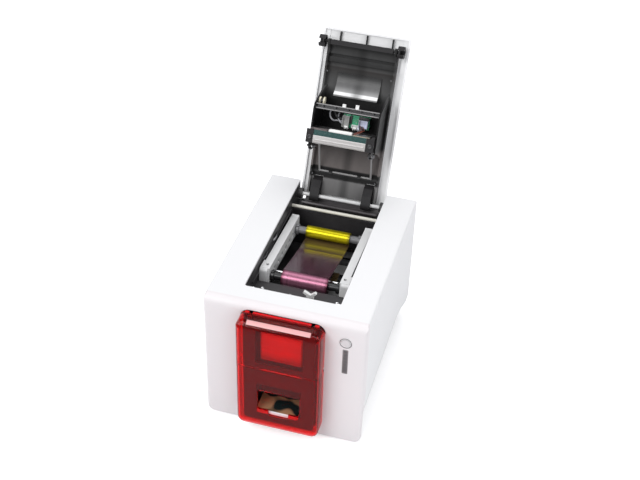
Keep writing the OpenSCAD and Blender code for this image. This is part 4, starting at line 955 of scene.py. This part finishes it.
REAR_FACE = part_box("rear_panel")[1][1] * 1000
for number, (x, z) in enumerate(((-92, 45), (92, 45), (-92, 150), (92, 150)), 1):
    screw_head(f"rear_screw_{number}", (x, REAR_FACE + 0.6, z), *REAR_SCREW, "Y", rod_steel, "casing", "steel")

# ------------------------------------------------- camera, floor and light

CAMERA_AT = (0.2996494, -1.1187513, 1.0921049)
LENS = 64.88             # millimetres, on a sensor 36 mm wide
SENSOR = 36
AZIMUTH, ELEVATION, ROLL = (math.radians(v) for v in (14.7389, 37.5667, 1.9067))

back = Vector((math.sin(AZIMUTH) * math.cos(ELEVATION), -math.cos(AZIMUTH) * math.cos(ELEVATION),
               math.sin(ELEVATION)))
level = Vector((0, 0, 1)).cross(back).normalized()
upward = back.cross(level)
right = math.cos(ROLL) * level + math.sin(ROLL) * upward
top = -math.sin(ROLL) * level + math.cos(ROLL) * upward
bpy.ops.object.camera_add()
camera = bpy.context.object
camera.name = "camera"
camera.matrix_world = Matrix.Translation(CAMERA_AT) @ Matrix((right, top, back)).transposed().to_4x4()
camera.data.sensor_width = SENSOR
camera.data.lens = LENS
bpy.context.scene.camera = camera

# a floor that is white where it is seen, mirrored or looked at through the cover
FLOOR_Z = -0.003
FLOOR_SIZE = 12
FLOOR_GLOW = 0.5
bpy.ops.mesh.primitive_plane_add(size=FLOOR_SIZE, location=(0, 0, FLOOR_Z))
floor = bpy.context.object
floor.name = "floor"
floor_paint, tree, shader, _ = new_material("floor paint")
shader.inputs["Base Color"].default_value = (0.82, 0.82, 0.83, 1)
shader.inputs["Roughness"].default_value = 0.8
glow = tree.nodes.new("ShaderNodeEmission")
glow.inputs["Color"].default_value = (1, 1, 1, 1)
glow.inputs["Strength"].default_value = FLOOR_GLOW
both = tree.nodes.new("ShaderNodeAddShader")
chosen = tree.nodes.new("ShaderNodeMixShader")
rays = tree.nodes.new("ShaderNodeLightPath")
clear_sight = calc(tree, "ADD", rays.outputs["Is Camera Ray"],
                   calc(tree, "ADD", rays.outputs["Is Glossy Ray"], rays.outputs["Is Transmission Ray"]),
                   clamp=True)
floor_out = next(node for node in tree.nodes if node.type == "OUTPUT_MATERIAL")
tree.links.new(shader.outputs["BSDF"], both.inputs[0])
tree.links.new(glow.outputs["Emission"], both.inputs[1])
tree.links.new(clear_sight, chosen.inputs["Fac"])
tree.links.new(shader.outputs["BSDF"], chosen.inputs[1])
tree.links.new(both.outputs["Shader"], chosen.inputs[2])
tree.links.new(chosen.outputs["Shader"], floor_out.inputs["Surface"])
floor.data.materials.append(floor_paint)

# soft lamps aimed at the printer's middle, as (name, place, size in metres, watts)
LAMPS = (("key", (-0.8, -1.4, 1.6), 1.2, 22), ("fill", (1.6, -0.9, 1.0), 1.6, 10),
         ("top", (0.1, 0.5, 1.9), 1.6, 14))
AIM = Vector((0, 0, 0.1))
for name, place, size, power in LAMPS:
    bpy.ops.object.light_add(type="AREA", location=place)
    lamp = bpy.context.object
    lamp.name = name
    lamp.data.shape = "DISK"
    lamp.data.size = size
    lamp.data.energy = power
    lamp.rotation_euler = (AIM - Vector(place)).to_track_quat("-Z", "Y").to_euler()

# a pale sky that lights the printer, and is white to the camera
world = bpy.data.worlds.new("studio")
bpy.context.scene.world = world
world.use_nodes = True
sky = world.node_tree
sky.nodes.clear()
sky_out = sky.nodes.new("ShaderNodeOutputWorld")
soft = sky.nodes.new("ShaderNodeBackground")
soft.inputs["Color"].default_value = (0.95, 0.96, 1, 1)
soft.inputs["Strength"].default_value = 0.55
white = sky.nodes.new("ShaderNodeBackground")
white.inputs["Color"].default_value = (1, 1, 1, 1)
white.inputs["Strength"].default_value = 1
seen = sky.nodes.new("ShaderNodeLightPath")
mixed = sky.nodes.new("ShaderNodeMixShader")
sky.links.new(seen.outputs["Is Camera Ray"], mixed.inputs["Fac"])
sky.links.new(soft.outputs["Background"], mixed.inputs[1])
sky.links.new(white.outputs["Background"], mixed.inputs[2])
sky.links.new(mixed.outputs["Shader"], sky_out.inputs["Surface"])

bpy.context.scene.view_settings.view_transform = "Standard"
